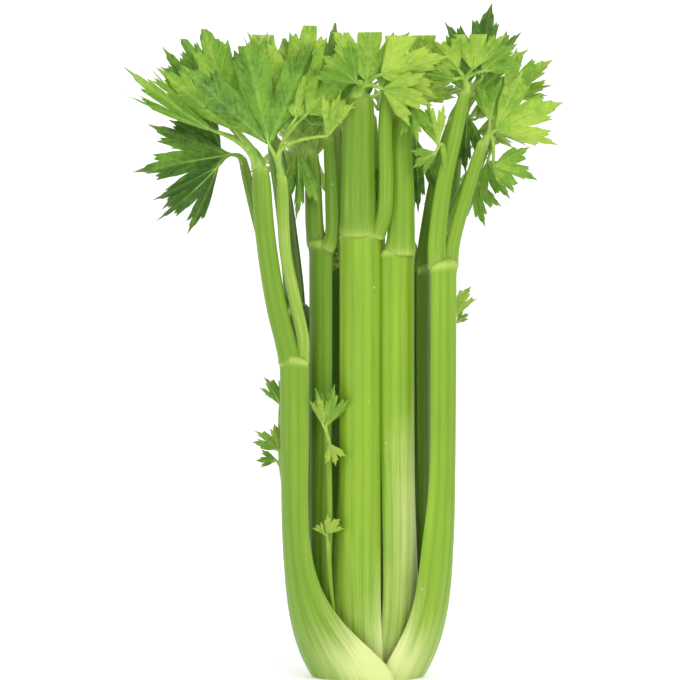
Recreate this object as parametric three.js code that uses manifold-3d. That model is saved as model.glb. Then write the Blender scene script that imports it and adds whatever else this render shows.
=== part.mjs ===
// A head of celery that stands on its cut base.
// Millimetres, +Z up, the front towards -Y, the origin at the centre of the cut face.
// A short crown carries three rings of ribbed stalks, with side shoots between them.
// Each stalk ends in a joint, where it forks into limbs, and each limb carries a compound leaf.

import * as THREE from "three";
import Module from "manifold-3d";
import { mergeVertices } from "three/addons/utils/BufferGeometryUtils.js";

const wasm = await Module();
wasm.setup();

// Driving dimensions
const trimHeight = 319; // the leaves are cut level here for sale
const gap = 0.35; // clear space between separate pieces
const crownRadius = 21.5; // the stem disc at the cut face
const crownHeight = 21; // the top of its dome
const bladeThickness = 0.7;
const leafletNeck = 1.4; // the width of a leaf stem where its blade begins
const tuckRamp = 12; // degrees over which a sheath dips to pass under its neighbour
const tuckSlope = 0.13; // millimetres that it dips further with each degree under there

// A ring of stalks: the radius of its outer face at the cut, the radius higher up, how fast it
// swells from one to the other, the wall of its stalks, the thickness of their side edges, and
// how far one of their sheaths dips to pass under the next.
const outerRing = {
  foot: 28,
  full: 48,
  rise: 30,
  wall: 6.2,
  edge: 1.8,
  ribs: 6,
  ribHeight: 0.7,
  tuck: 3,
  innerPoints: 5,
};
const middleRing = {
  foot: 17,
  full: 31.5,
  rise: 17,
  wall: 5.2,
  edge: 1.7,
  ribs: 5,
  ribHeight: 0.6,
  tuck: 2.8,
  innerPoints: 5,
};
const heartRing = {
  foot: 6,
  full: 13.5,
  rise: 18,
  wall: 3.4,
  edge: 1.2,
  ribs: 3,
  ribHeight: 0.4,
  tuck: 2,
  innerPoints: 4,
};

const sheathFade = 46; // height over which a stalk narrows from its sheath to its own width
const curlFade = 40; // height over which it curls from the head's curve to its own
const swellHeight = 45; // where a stalk that swells above its sheath is widest
const swellReach = 38; // and the height over which it narrows again
const stalkReach = THREE.MathUtils.degToRad(76); // half the arc of a stalk's outer face above the sheath
const limbReach = THREE.MathUtils.degToRad(100);

const rad = THREE.MathUtils.degToRad;
const lerp = THREE.MathUtils.lerp;
const smooth = (x) => THREE.MathUtils.smoothstep(x, 0, 1);
const vector = (x, y, z) => new THREE.Vector3(x, y, z);

// Outward direction at an azimuth measured from the front towards +X.
function outwardAt(azimuth) {
  return vector(Math.sin(rad(azimuth)), -Math.cos(rad(azimuth)), 0);
}

// A triangle mesh as a solid, turned so that its faces point out.
function solidFrom(points, triangles) {
  const geometry = new THREE.BufferGeometry().setFromPoints(points).setIndex(triangles);
  const merged = mergeVertices(geometry, 1e-4);
  const make = (index) =>
    new wasm.Manifold(
      new wasm.Mesh({
        numProp: 3,
        vertProperties: new Float32Array(merged.attributes.position.array),
        triVerts: new Uint32Array(index),
      })
    );
  const order = Array.from(merged.index.array);
  const solid = make(order);
  return solid.volume() > 0 ? solid : make(order.reverse());
}

function unite(solids) {
  return solids.reduce((whole, next) => whole.add(next));
}

// The largest body of a solid: scraps that a cut leaves loose are dropped.
function largestBody(solid) {
  return solid.decompose().reduce((best, body) => (body.volume() > best.volume() ? body : best));
}

// Rings of points with the same count, joined side by side and capped at both ends.
function skin(rings, capOutline) {
  const count = rings[0].length;
  const triangles = [];
  for (let i = 0; i + 1 < rings.length; i++) {
    for (let j = 0; j < count; j++) {
      const k = (j + 1) % count;
      const [a, b, c, d] = [i * count + j, i * count + k, (i + 1) * count + k, (i + 1) * count + j];
      triangles.push(a, b, c, a, c, d);
    }
  }
  const last = (rings.length - 1) * count;
  for (const [first, outline, facing] of [
    [0, capOutline[0], false],
    [last, capOutline[1], true],
  ]) {
    const clockwise = THREE.ShapeUtils.isClockWise(outline);
    for (const [p, q, r] of THREE.ShapeUtils.triangulateShape(outline, [])) {
      const upward = clockwise === facing;
      triangles.push(...(upward ? [first + r, first + q, first + p] : [first + p, first + q, first + r]));
    }
  }
  return solidFrom(rings.flat(), triangles);
}

// The section of a stalk as 2-D points: x to the side, y outwards, the middle of the ribbed
// outer face at (0, 0). The inner side is a smooth hollow between the two edges, which follows
// the head's curve as far as wrap says. tuckAt gives how far in the section dips at a share of
// its half arc.
function stalkSection({ curve, reach, wall, edge, ribs, ribHeight, tuckAt, wrap, innerPoints }) {
  const outline = [];
  for (let i = 0; i <= 2 * ribs; i++) {
    const u = -1 + i / ribs;
    const angle = u * (u < 0 ? reach[0] : reach[1]);
    const rib = ribHeight * (Math.abs(Math.sin((ribs * Math.PI * (u + 1)) / 2)) - 1);
    const r = curve + rib - tuckAt(u);
    outline.push(new THREE.Vector2(r * Math.sin(angle), r * Math.cos(angle) - curve));
  }
  for (let i = 0; i < innerPoints; i++) {
    const q = 1 - (2 * i) / (innerPoints - 1);
    const turn = reach[q < 0 ? 0 : 1];
    const lift = Math.cos((q * Math.PI) / 2);
    const edgeRadius = curve - ribHeight - edge - tuckAt(q < 0 ? -1 : 1);
    const chordX = edgeRadius * Math.sin(turn) * Math.sin((q * Math.PI) / 2);
    const chordY = lerp(edgeRadius * Math.cos(turn) - curve, -wall, lift);
    const r = curve - ribHeight - tuckAt(q) - lerp(edge, wall - ribHeight, lift * lift);
    const wrapX = r * Math.sin(q * turn);
    const wrapY = r * Math.cos(q * turn) - curve;
    outline.push(new THREE.Vector2(lerp(chordX, wrapX, wrap), lerp(chordY, wrapY, wrap)));
  }
  return outline;
}

function placeSection(outline, origin, side, outward) {
  return outline.map((p) => origin.clone().addScaledVector(side, p.x).addScaledVector(outward, p.y));
}

// How much further than its own width a stalk spreads to each side just above the sheath.
function swellOf(stalk) {
  return stalk.swell ?? [0, 0];
}

// A stalk from the crown up to its joint, where it closes to a solid ridge.
function petiole(stalk, stations) {
  const { ring, width } = stalk;
  const ownCurve = width / 2 / Math.sin(stalkReach);
  const outward = outwardAt(stalk.azimuth);
  const side = vector(-outward.y, outward.x, 0);
  const rings = [];
  const outlines = [];
  for (const z of stations) {
    const sheath = Math.exp(-Math.pow(z / sheathFade, 1.35));
    const curl = Math.exp(-Math.pow(z / curlFade, 1.5));
    const radius = ring.full - (ring.full - ring.foot) * Math.exp(-z / ring.rise);
    const swell = Math.exp(-Math.pow((z - swellHeight) / swellReach, 2));
    const grown = swellOf(stalk).map((extra) => extra * swell);
    const curve = lerp(ownCurve + 0.45 * (grown[0] + grown[1]), radius, curl);
    const ownReach = grown.map((extra) => Math.asin(Math.min(0.97, (width / 2 + extra) / curve)));
    const ridge = Math.exp(-Math.pow((stalk.joint - 2 - z) / 2.5, 2));
    const closing = Math.max(0, 1 - (stalk.joint - z) / 7);
    const tuckAt = (u) => {
      const end = stalk.sheath[u < 0 ? 0 : 1];
      const from = stalk.under[u < 0 ? 0 : 1];
      if (!from) return 0;
      const past = Math.abs(u) * end - from;
      return sheath * (ring.tuck * smooth(past / tuckRamp + 1) + tuckSlope * Math.max(0, past));
    };
    const outline = stalkSection({
      curve: curve + 0.5 * ridge,
      reach: stalk.sheath.map((angle, i) => lerp(ownReach[i], rad(angle), sheath)),
      wall: ring.wall * lerp(1.3, 1, sheath) + curve * 0.35 * closing,
      edge: lerp(ring.edge * 1.3, ring.edge, sheath) + 2 * closing,
      ribs: ring.ribs,
      ribHeight: ring.ribHeight * Math.min(1, 0.35 + z / 60) * (1 - 0.6 * ridge),
      tuckAt,
      wrap: curl,
      innerPoints: ring.innerPoints,
    });
    const origin = outward.clone().multiplyScalar(radius + 0.4 * ridge);
    origin.z = z;
    rings.push(placeSection(outline, origin, side, outward));
    outlines.push(outline);
  }
  return skin(rings, [outlines[0], outlines.at(-1)]);
}

// A point on a smooth curve through knots, at t from 0 to 1, and the direction there.
function along(knots, t) {
  const spans = knots.length - 1;
  const i = Math.min(spans - 1, Math.floor(t * spans));
  const f = t * spans - i;
  const at = (k) => knots[Math.max(0, Math.min(spans, k))];
  const [p0, p1, p2, p3] = [at(i - 1), at(i), at(i + 1), at(i + 2)];
  const mix = (a, b, c, d) =>
    0.5 * (2 * b + (c - a) * f + (2 * a - 5 * b + 4 * c - d) * f * f + (3 * b - a - 3 * c + d) * f ** 3);
  const slope = (a, b, c, d) =>
    0.5 * (c - a + 2 * (2 * a - 5 * b + 4 * c - d) * f + 3 * (3 * b - a - 3 * c + d) * f * f);
  const each = (g) => vector(...["x", "y", "z"].map((c) => g(p0[c], p1[c], p2[c], p3[c])));
  return { point: each(mix), direction: each(slope).normalize() };
}

// A limb above the joint: half-round, ribbed outside, slightly hollowed inside.
function limbSolid(limb, azimuth) {
  const knots = limb.path.map((p) => vector(...p));
  const steps = knots.length;
  const rings = [];
  const outlines = [];
  for (let i = 0; i <= steps; i++) {
    const t = i / steps;
    const { point, direction } = along(knots, t);
    const side = vector(0, 0, 1).cross(outwardAt(azimuth));
    side.addScaledVector(direction, -side.dot(direction)).normalize();
    const outward = side.clone().cross(direction).multiplyScalar(-1).normalize();
    if (outward.dot(outwardAt(azimuth)) < 0) outward.negate();
    const curve = lerp(limb.width[0], limb.width[1], t) / 2;
    const outline = stalkSection({
      curve,
      reach: [limbReach, limbReach],
      wall: curve * 1.25,
      edge: curve * 0.3,
      ribs: 3,
      ribHeight: curve * 0.05,
      tuckAt: () => 0,
      wrap: 0,
      innerPoints: 3,
    });
    const origin = point.clone().addScaledVector(outward, curve * 0.6);
    rings.push(placeSection(outline, origin, side, outward));
    outlines.push(outline);
  }
  return skin(rings, [outlines[0], outlines.at(-1)]);
}

// A curve from one point to another that leaves along the direction it is given.
function leavingCurve(from, leaving, to) {
  const bend = from.clone().addScaledVector(leaving, from.distanceTo(to) * 0.4);
  return new THREE.QuadraticBezierCurve3(from, bend, to);
}

// How far a leaflet's edge reaches at an angle from its middle vein, as a share of its length:
// three pointed lobes, each with pointed teeth.
function leafletEdge(angle, spread, valley) {
  const a = angle / spread;
  const offLobe = 2 * Math.abs(1.5 * a - Math.round(1.5 * a));
  const lobes = 1 - 0.38 * Math.pow(offLobe, 1.6);
  const taper = 1 - 0.3 * a * a;
  return lobes * taper * (1 - 0.17 * valley);
}

// One leaflet: a thin blade that bows along its length and folds up along its middle vein,
// closed together with the four-sided stem that carries it along a curve.
function leafletSolid(leaflet) {
  const { base, tip, face, spread, arch, fold, wave, stem, stemWidth, stops } = leaflet;
  const length = base.distanceTo(tip);
  const forward = tip.clone().sub(base).normalize();
  const under = face.clone().addScaledVector(forward, -face.dot(forward)).normalize();
  const side = forward.clone().cross(under);
  const pointAt = (share, angle, valley, offset) => {
    const r = share * leafletEdge(angle, spread, valley) * length;
    const x = r * Math.sin(angle);
    const y = r * Math.cos(angle);
    const bend = arch * (y / length - 0.5);
    const ahead = (length / arch) * (Math.sin(bend) + Math.sin(arch / 2));
    const down = (length / arch) * (Math.cos(arch / 2) - Math.cos(bend));
    const ripple = wave * length * share * share * Math.sin((4.5 * angle) / spread + leaflet.phase);
    const rise = down - fold * Math.abs(x) + ripple;
    const normal = under.clone().multiplyScalar(Math.cos(bend)).addScaledVector(forward, -Math.sin(bend));
    return base
      .clone()
      .addScaledVector(side, x)
      .addScaledVector(forward, ahead)
      .addScaledVector(under, rise)
      .addScaledVector(normal, offset);
  };
  const trimmed = (share, angle, valley, offset) => {
    if (pointAt(1, angle, valley, 0).z <= leaflet.trim) return pointAt(share, angle, valley, offset);
    let [low, high] = [0, 1];
    for (let i = 0; i < 12; i++) {
      const mid = (low + high) / 2;
      if (pointAt(mid, angle, valley, 0).z > leaflet.trim) high = mid;
      else low = mid;
    }
    return pointAt(share * low, angle, valley, offset);
  };
  const middles = [-0.66, -0.33, 0, 0.33, 0.66];
  const edgeCount = 2 * leaflet.teeth + 1;
  // With nine teeth every other point is a notch; with six only those between the lobes are.
  const notchAt = (j) => (j % (leaflet.teeth === 9 ? 2 : 4) ? 0 : 1);
  const points = [];
  for (const offset of [bladeThickness / 2, -bladeThickness / 2]) {
    for (const shift of [-leafletNeck / 2, leafletNeck / 2])
      points.push(pointAt(0, 0, 0, offset).addScaledVector(side, shift));
    middles.forEach((m) => points.push(trimmed(0.52, m * spread, 0.5, offset)));
    for (let j = 0; j < edgeCount; j++)
      points.push(trimmed(1, spread * (-1 + (2 * j) / (edgeCount - 1)), notchAt(j), offset));
  }
  const [left, right] = [0, 1];
  const middle = (k) => 2 + k;
  const edge = (j) => 2 + middles.length + j;
  const last = edgeCount - 1;
  const faces = [
    [left, middle(0), edge(0)],
    [left, right, middle(2)],
    [right, edge(last), middle(4)],
  ];
  for (let k = 0; k < 4; k++) faces.push([k < 2 ? left : right, middle(k + 1), middle(k)]);
  const nearest = (j) => Math.round(((j / last) * 2 - 1 + 0.66) / 0.33);
  const owner = (j) => Math.max(0, Math.min(middles.length - 1, nearest(j)));
  for (let j = 0; j < last; j++) {
    faces.push([edge(j), middle(owner(j)), edge(j + 1)]);
    if (owner(j + 1) > owner(j)) faces.push([middle(owner(j)), middle(owner(j) + 1), edge(j + 1)]);
  }
  const half = points.length / 2;
  const triangles = faces.flatMap(([p, q, r]) => [p, q, r, p + half, r + half, q + half]);
  const rim = [left, ...Array.from({ length: edgeCount }, (_, j) => edge(j)), right];
  for (let i = 0; i + 1 < rim.length; i++) {
    const [a, b] = [rim[i], rim[i + 1]];
    triangles.push(a, b, b + half, a, b + half, a + half);
  }
  let ahead = [left, right, right + half, left + half];
  for (const t of [...stops].reverse()) {
    const direction = stem.getTangent(t);
    const across = side.clone().addScaledVector(direction, -side.dot(direction)).normalize();
    const above = across.clone().cross(direction);
    const radius = lerp(stemWidth, leafletNeck, t) / 2;
    const ring = [[-1, 1], [1, 1], [1, -1], [-1, -1]].map(([u, v]) => {
      const corner = stem.getPoint(t).addScaledVector(across, u * radius);
      points.push(corner.addScaledVector(above, v * radius * 0.8));
      return points.length - 1;
    });
    for (let i = 0; i < 4; i++) {
      const k = (i + 1) % 4;
      triangles.push(ahead[k], ahead[i], ring[i], ahead[k], ring[i], ring[k]);
    }
    ahead = ring;
  }
  triangles.push(ahead[2], ahead[1], ahead[0], ahead[3], ahead[2], ahead[0]);
  return solidFrom(points, triangles);
}

// A compound leaf at the end of a limb: a stem that carries the first leaflet at its end and
// the others on side stems that leave it around the fork.
function compoundLeaf(leaf, limb, azimuth) {
  const knots = limb.path.map((p) => vector(...p));
  const end = along(knots, 1);
  const start = end.point.clone().addScaledVector(end.direction, gap);
  const width = limb.width[1] * 0.62;
  const droop = leaf.facing === undefined ? -0.9 : -0.3;
  const facing = outwardAt(leaf.facing ?? azimuth).add(vector(0, 0, droop)).normalize();
  const fork = end.point.clone().addScaledVector(end.direction, leaf.fork ?? 7);
  let main;
  const leaflets = leaf.leaflets.map((entry, index) => {
    const tip = vector(...entry.tip);
    const base = entry.base ? vector(...entry.base) : fork.clone().lerp(tip, 0.26);
    const t = main ? Math.min(0.75, ((leaf.fork ?? 7) + 1.5 * index - 1) / main.getLength()) : 0;
    const from = main ? main.getPoint(t) : start;
    const stem = leavingCurve(from, main ? main.getTangent(t) : end.direction, base);
    const forward = tip.clone().sub(base).normalize();
    const solid = leafletSolid({
      base,
      tip,
      face: facing.clone().applyAxisAngle(forward, rad(entry.roll ?? 0)),
      spread: rad(entry.spread ?? 62),
      arch: entry.arch ?? 0.5,
      fold: entry.fold ?? 0.25,
      wave: 0.05,
      phase: index * 1.7 + (leaf.seed ?? 0),
      trim: entry.trim ?? trimHeight,
      teeth: entry.teeth ?? 6,
      stem,
      stemWidth: main ? lerp(width, leafletNeck, t) * 0.8 : width,
      stops: main ? [0, 0.5] : [0, 0.35, 0.7],
    });
    main ??= stem;
    return solid;
  });
  return unite(leaflets).asOriginal().simplify(0.1);
}

// The limbs and leaves of a stalk that follow the rule: a middle limb and one on each side,
// spreading out from the head, each ending in a compound leaf.
function spreadingLimbs(stalk, { sides, length, flare, size, leaflets = 3 }) {
  const { ring, joint, width } = stalk;
  const outward = outwardAt(stalk.azimuth);
  const across = vector(-outward.y, outward.x, 0);
  const centre = ring.full - ring.wall * 0.8;
  const at = (out, side, z) => {
    const p = outward.clone().multiplyScalar(centre + out).addScaledVector(across, side);
    return [p.x, p.y, z];
  };
  return sides.map((s) => {
    const shift = s * width * 0.36;
    const top = joint + length * (s ? 0.58 : 1);
    const end = at(flare * (s ? 0.9 : 0.7), s * (width * 0.5 + flare * 0.55), top);
    const reach = s * (width * 0.6 + flare * 1.3);
    const near = s * (width * 0.6 + flare);
    const tips = [
      at(flare * 1.9 + size * 0.25, reach, Math.min(top + size * 0.92, trimHeight + 6)),
      at(flare * 1.6 + size * 0.5, near + (s || 1) * size * 0.55, top + size * 0.3),
      at(flare * 1.6 + size * 0.34, near - size * 0.55, top + size * 0.5),
      at(flare * 1.2 + size * 0.62, -size * 0.4, top - size * 0.06),
    ].slice(0, s ? 2 : leaflets);
    return {
      name: s ? (s < 0 ? "left" : "right") : "middle",
      width: s ? [width * 0.38, width * 0.32] : [width * 0.66, width * 0.46],
      path: [
        at(0, shift, joint - 3),
        at(0, shift * 1.25, joint + length * 0.12),
        at(flare * 0.35, shift + s * flare * 0.25, joint + length * 0.45),
        end,
      ],
      leaf: { leaflets: tips.map((tip) => ({ tip })), seed: s + stalk.azimuth },
    };
  });
}

// The stalks. Azimuths are degrees from the front towards +X, and a sheath is how far the foot
// of a stalk wraps round the head to each side; swell is how many millimetres it spreads to each
// side just above that; under is the angle past which it lies beneath its
// neighbour, 0 where it lies on top. Limb paths and leaf tips are millimetres.
const stalks = [
  {
    name: "stalk_outer_front_left",
    ring: outerRing,
    azimuth: -63,
    joint: 160,
    width: 23,
    sheath: [44, 90],
    under: [0, 0],
    limbs: [
      {
        name: "a",
        width: [14.5, 12],
        path: [[-39.5, -20, 157], [-42, -21, 168], [-47.2, -25, 190], [-52, -28, 223], [-54, -30, 254]],
        leaf: {
          fork: 8,
          facing: 0,
          leaflets: [
            { base: [-77, -22, 273], tip: [-123, -20, 306], spread: 17, roll: 30, fold: 0.4 },
            { base: [-81, -8, 284], tip: [-103, -4, 316], spread: 44 },
            { base: [-66, -28, 273], tip: [-84, -26, 331], spread: 52, trim: 323, teeth: 9 },
            { base: [-74, -1, 289], tip: [-97, 2, 324], spread: 44 },
          ],
        },
      },
      {
        name: "b",
        width: [8.5, 7.5],
        path: [[-33.5, -22, 157], [-33, -24, 170], [-37, -28, 190], [-41.7, -31, 216], [-43, -33, 249]],
        leaf: {
          fork: 5,
          facing: 0,
          leaflets: [
            { base: [-49, -40, 266], tip: [-64, -56, 331], spread: 54, trim: 314, teeth: 9, fold: 0.12 },
            { base: [-35.5, -40, 279], tip: [-27, -48, 334], spread: 58, trim: 324, teeth: 9 },
            { base: [-30, -42, 281], tip: [-11, -46, 302], spread: 60, roll: -15 },
            { base: [-20, -52, 270], tip: [-13, -60, 293], spread: 34, fold: 0.5 },
          ],
        },
      },
    ],
  },
  {
    name: "stalk_outer_front_right",
    ring: outerRing,
    azimuth: 63,
    joint: 207,
    width: 20.5,
    swell: [6, 0],
    sheath: [49, 40],
    under: [35, 0],
    limbs: [
      {
        name: "a",
        width: [13.5, 8],
        path: [[36.3, -19.5, 204], [35, -20, 218], [38, -23, 245], [43, -25, 268], [48, -26, 291]],
        leaf: {
          fork: 5,
          facing: 0,
          leaflets: [
            { base: [44, -34, 303], tip: [30, -44, 318], spread: 62 },
            { base: [51, -36, 303], tip: [56, -42, 330], spread: 54, trim: 320 },
            { base: [56, -30, 302], tip: [74, -38, 316], spread: 52 },
            { base: [43, -34, 298], tip: [26, -36, 300], spread: 46 },
          ],
        },
      },
      {
        name: "b",
        width: [9.5, 8],
        path: [[41.5, -17, 204], [43, -16, 218], [49, -16, 240], [57, -17, 266]],
        leaf: {
          fork: 4,
          facing: 0,
          leaflets: [
            { base: [63, -24, 273], tip: [97, -34, 287], spread: 62, teeth: 9 },
            { base: [60, -22, 278], tip: [66, -27, 300], spread: 56 },
            { base: [62, -14, 255], tip: [85, -14, 248], spread: 66, roll: 15 },
          ],
        },
      },
      {
        name: "c",
        width: [4.6, 4.2],
        path: [[39.5, -22, 247], [38.5, -27, 256], [37, -30, 264]],
        leaf: {
          fork: 3,
          facing: 0,
          leaflets: [
            { base: [34, -36, 266], tip: [28, -38, 290], spread: 34, fold: 0.5 },
            { base: [33, -34, 262], tip: [21, -38, 254], spread: 52 },
          ],
        },
      },
    ],
  },
  {
    name: "stalk_outer_back_right",
    ring: outerRing,
    azimuth: 121,
    joint: 178,
    width: 22,
    sheath: [32, 36],
    under: [19, 0],
    spread: { sides: [0, 1], length: 90, flare: 13, size: 45, leaflets: 4 },
  },
  {
    name: "stalk_outer_back",
    ring: outerRing,
    azimuth: 180,
    joint: 196,
    width: 24,
    sheath: [36, 38],
    under: [23, 0],
    spread: { sides: [0, 1], length: 84, flare: 15, size: 52, leaflets: 4 },
  },
  {
    name: "stalk_outer_back_left",
    ring: outerRing,
    azimuth: -121,
    joint: 184,
    width: 22,
    sheath: [34, 24],
    under: [21, 14],
    limbs: [
      {
        name: "a",
        width: [14, 10],
        path: [[-38, 22, 181], [-39, 24, 200], [-43, 27, 235], [-48, 30, 268]],
        leaf: {
          leaflets: [
            { tip: [-60, 38, 334], spread: 54, trim: 322 },
            { tip: [-88, 32, 306] },
            { tip: [-56, 62, 300], spread: 44 },
          ],
        },
      },
      {
        name: "b",
        width: [8, 6],
        path: [[-42, 15, 181], [-47, 13, 196], [-56, 12, 228], [-63, 9, 258]],
        leaf: {
          facing: -20,
          leaflets: [
            { base: [-70, 4, 261], tip: [-119, -4, 252], spread: 46, roll: 10, teeth: 9 },
            { base: [-75, -1, 255], tip: [-107, -8, 226], spread: 32, roll: 20, teeth: 9 },
            { base: [-74, 10, 264], tip: [-101, 6, 279], spread: 56 },
          ],
        },
      },
    ],
  },
  {
    name: "stalk_middle_front",
    ring: middleRing,
    azimuth: -10,
    joint: 223,
    width: 21,
    swell: [4, 1.2],
    sheath: [44, 30],
    under: [0, 0],
    limbs: [
      {
        name: "a",
        width: [18.5, 15.5],
        path: [[-5.2, -27, 220], [-5.5, -27.5, 234], [-5.5, -29, 250], [-5.5, -31, 270], [-5, -33, 289]],
        leaf: {
          fork: 4,
          facing: 0,
          leaflets: [
            { base: [-1, -42, 297], tip: [2, -44, 336], spread: 56, trim: 321 },
            { base: [-6, -50, 296], tip: [-24, -64, 310], spread: 58 },
            { base: [6, -46, 300], tip: [40, -55, 309], spread: 66, teeth: 9 },
            { base: [7, -44, 293], tip: [32, -50, 284], spread: 58 },
          ],
        },
      },
      {
        name: "b",
        width: [8, 6.5],
        path: [[3.5, -27, 220], [7.5, -29, 231], [8.5, -31, 247], [8.5, -32, 282], [15.5, -30, 316]],
      },
    ],
  },
  {
    name: "stalk_middle_front_right",
    ring: middleRing,
    azimuth: 36.3,
    joint: 214,
    width: 20.5,
    swell: [1.2, 3.5],
    sheath: [27, 32],
    under: [14, 0],
    limbs: [
      {
        name: "a",
        width: [16, 11],
        path: [[17, -23.5, 211], [17.5, -23.5, 224], [17.5, -24, 245], [16.8, -24, 265], [17, -24, 280]],
        leaf: {
          fork: 5,
          facing: 0,
          leaflets: [
            { base: [22, -24, 291], tip: [30, -26, 334], spread: 50, trim: 320 },
            { base: [24, -28, 289], tip: [44, -30, 302], spread: 56 },
            { base: [20, -38, 287], tip: [24, -44, 266], spread: 44, roll: 10 },
            { base: [24, -12, 268], tip: [25, -8, 230], spread: 34 },
          ],
        },
      },
    ],
  },
  {
    name: "stalk_middle_right",
    ring: middleRing,
    azimuth: 88,
    joint: 205,
    width: 17,
    sheath: [33, 32],
    under: [22, 0],
    limbs: [
      {
        name: "a",
        width: [12, 8],
        path: [[27, -1, 202], [29, -1, 220], [34, -1, 250], [42, 0, 278]],
        leaf: {
          facing: 20,
          leaflets: [
            { base: [57, -1, 299], tip: [62, -2, 338], spread: 58, trim: 340, teeth: 9 },
            { base: [48, 6, 294], tip: [44, 12, 332], spread: 50, trim: 321 },
            { base: [55, 8, 292], tip: [82, 12, 315], spread: 50 },
            { base: [50, 13, 282], tip: [50, 13, 250], spread: 40 },
          ],
        },
      },
      {
        name: "b",
        width: [8, 6],
        path: [[30, 4, 202], [36, 7, 217], [48, 5, 245], [62, 1, 274]],
        leaf: {
          facing: 30,
          leaflets: [
            { base: [69, 1, 289], tip: [93, -4, 309], spread: 54, teeth: 9 },
            { base: [72, 5, 288], tip: [93, 3, 297], spread: 36 },
            { base: [60, 8, 258], tip: [72, 10, 238], spread: 60 },
            { base: [54, 11, 247], tip: [60, 13, 224], spread: 56 },
          ],
        },
      },
    ],
  },
  {
    name: "stalk_middle_back_right",
    ring: middleRing,
    azimuth: 137,
    joint: 216,
    width: 19,
    sheath: [28, 36],
    under: [17, 0],
    spread: { sides: [0], length: 62, flare: 9, size: 34 },
  },
  {
    name: "stalk_middle_back_left",
    ring: middleRing,
    azimuth: -149,
    joint: 206,
    width: 18,
    sheath: [49, 17],
    under: [38, 0],
    spread: { sides: [0], length: 68, flare: 8, size: 31 },
  },
  {
    name: "stalk_middle_left",
    ring: middleRing,
    azimuth: -64,
    joint: 217,
    width: 18,
    sheath: [78, 20],
    under: [68, 10],
    limbs: [
      {
        name: "a",
        width: [12.5, 10],
        path: [[-26, -9.5, 214], [-27.5, -10, 226], [-28, -9, 242], [-28.5, -7, 260]],
        leaf: {
          facing: -20,
          leaflets: [
            { base: [-33, 2, 272], tip: [-44, -6, 326], spread: 48 },
            { base: [-26, -2, 272], tip: [-14, -8, 318], spread: 50 },
            { base: [-35, -14, 264], tip: [-36, -22, 227], spread: 30 },
          ],
        },
      },
      {
        name: "b",
        width: [9.5, 8.5],
        path: [[-21.5, -17, 214], [-18.5, -18, 222], [-18.5, -17, 237], [-19, -15, 252], [-20, -13, 268]],
        leaf: {
          facing: -10,
          leaflets: [
            { base: [-22, -18, 281], tip: [-16, -25, 330], spread: 48, trim: 326 },
            { base: [-28, -16, 276], tip: [-50, -22, 294], spread: 52 },
          ],
        },
      },
    ],
  },
  {
    name: "stalk_heart_front",
    ring: heartRing,
    azimuth: 20,
    joint: 176,
    width: 9,
    sheath: [60, 60],
    under: [0, 0],
    spread: { sides: [0], length: 62, flare: 1, size: 20 },
  },
  {
    name: "stalk_heart_back",
    ring: heartRing,
    azimuth: 140,
    joint: 160,
    width: 9,
    sheath: [62, 58],
    under: [50, 0],
    spread: { sides: [0], length: 56, flare: 1, size: 19.4 },
  },
  {
    name: "stalk_heart_left",
    ring: heartRing,
    azimuth: -100,
    joint: 150,
    width: 8.5,
    sheath: [60, 70],
    under: [48, 56],
    spread: { sides: [0], length: 50, flare: 1, size: 18 },
  },
];

// Side shoots: thin leafy stems that grow up between the rings of stalks.
const shoots = [
  {
    name: "shoot_front_left",
    azimuth: -55,
    width: [2.6, 3.6],
    path: [[-19.3, -19.6, 22], [-20, -25.4, 45], [-19.3, -27.5, 80], [-20, -27, 117]],
    leaf: {
      fork: 4,
      facing: -10,
      leaflets: [
        { base: [-21, -30, 127], tip: [-16.5, -36, 149], spread: 44 },
        { base: [-22.5, -31, 128], tip: [-25, -36, 144], spread: 36 },
        { base: [-19, -31, 118], tip: [-16, -36, 107], spread: 52 },
      ],
    },
  },
  {
    name: "shoot_front_low",
    azimuth: -30,
    width: [2.2, 2.6],
    path: [[-16.3, -25, 26], [-18.5, -27.8, 45], [-20, -30, 68]],
    leaf: {
      fork: 3,
      facing: 0,
      leaflets: [
        { base: [-20.5, -31, 74], tip: [-13.5, -35, 82], spread: 56 },
        { base: [-22, -31, 74], tip: [-26.5, -35, 79], spread: 40 },
      ],
    },
  },
  {
    name: "shoot_left",
    azimuth: -90,
    width: [2.6, 3.6],
    path: [[-28, 7, 22], [-35, 8, 50], [-40, 6, 75], [-43, 1, 100]],
    leaf: {
      fork: 3,
      facing: -30,
      leaflets: [
        { base: [-44.5, 1, 113], tip: [-58, -3, 124], spread: 58 },
        { base: [-46, 3, 108], tip: [-57, 1, 108], spread: 50 },
        { base: [-44, 4, 136], tip: [-53, 2, 151], spread: 50 },
      ],
    },
  },
  {
    name: "shoot_right",
    azimuth: 92,
    width: [2.6, 3.6],
    path: [[26, 10, 22], [32, 12, 50], [35, 11, 110], [42, 9, 172]],
    leaf: {
      fork: 4,
      facing: 30,
      leaflets: [
        { base: [44, 7, 180], tip: [52, 2, 196], spread: 56 },
        { base: [45, 11, 177], tip: [52, 12, 182], spread: 48 },
      ],
    },
  },
];

const stalkStations = [0, 12, 26, 44, 70, 110];

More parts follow.
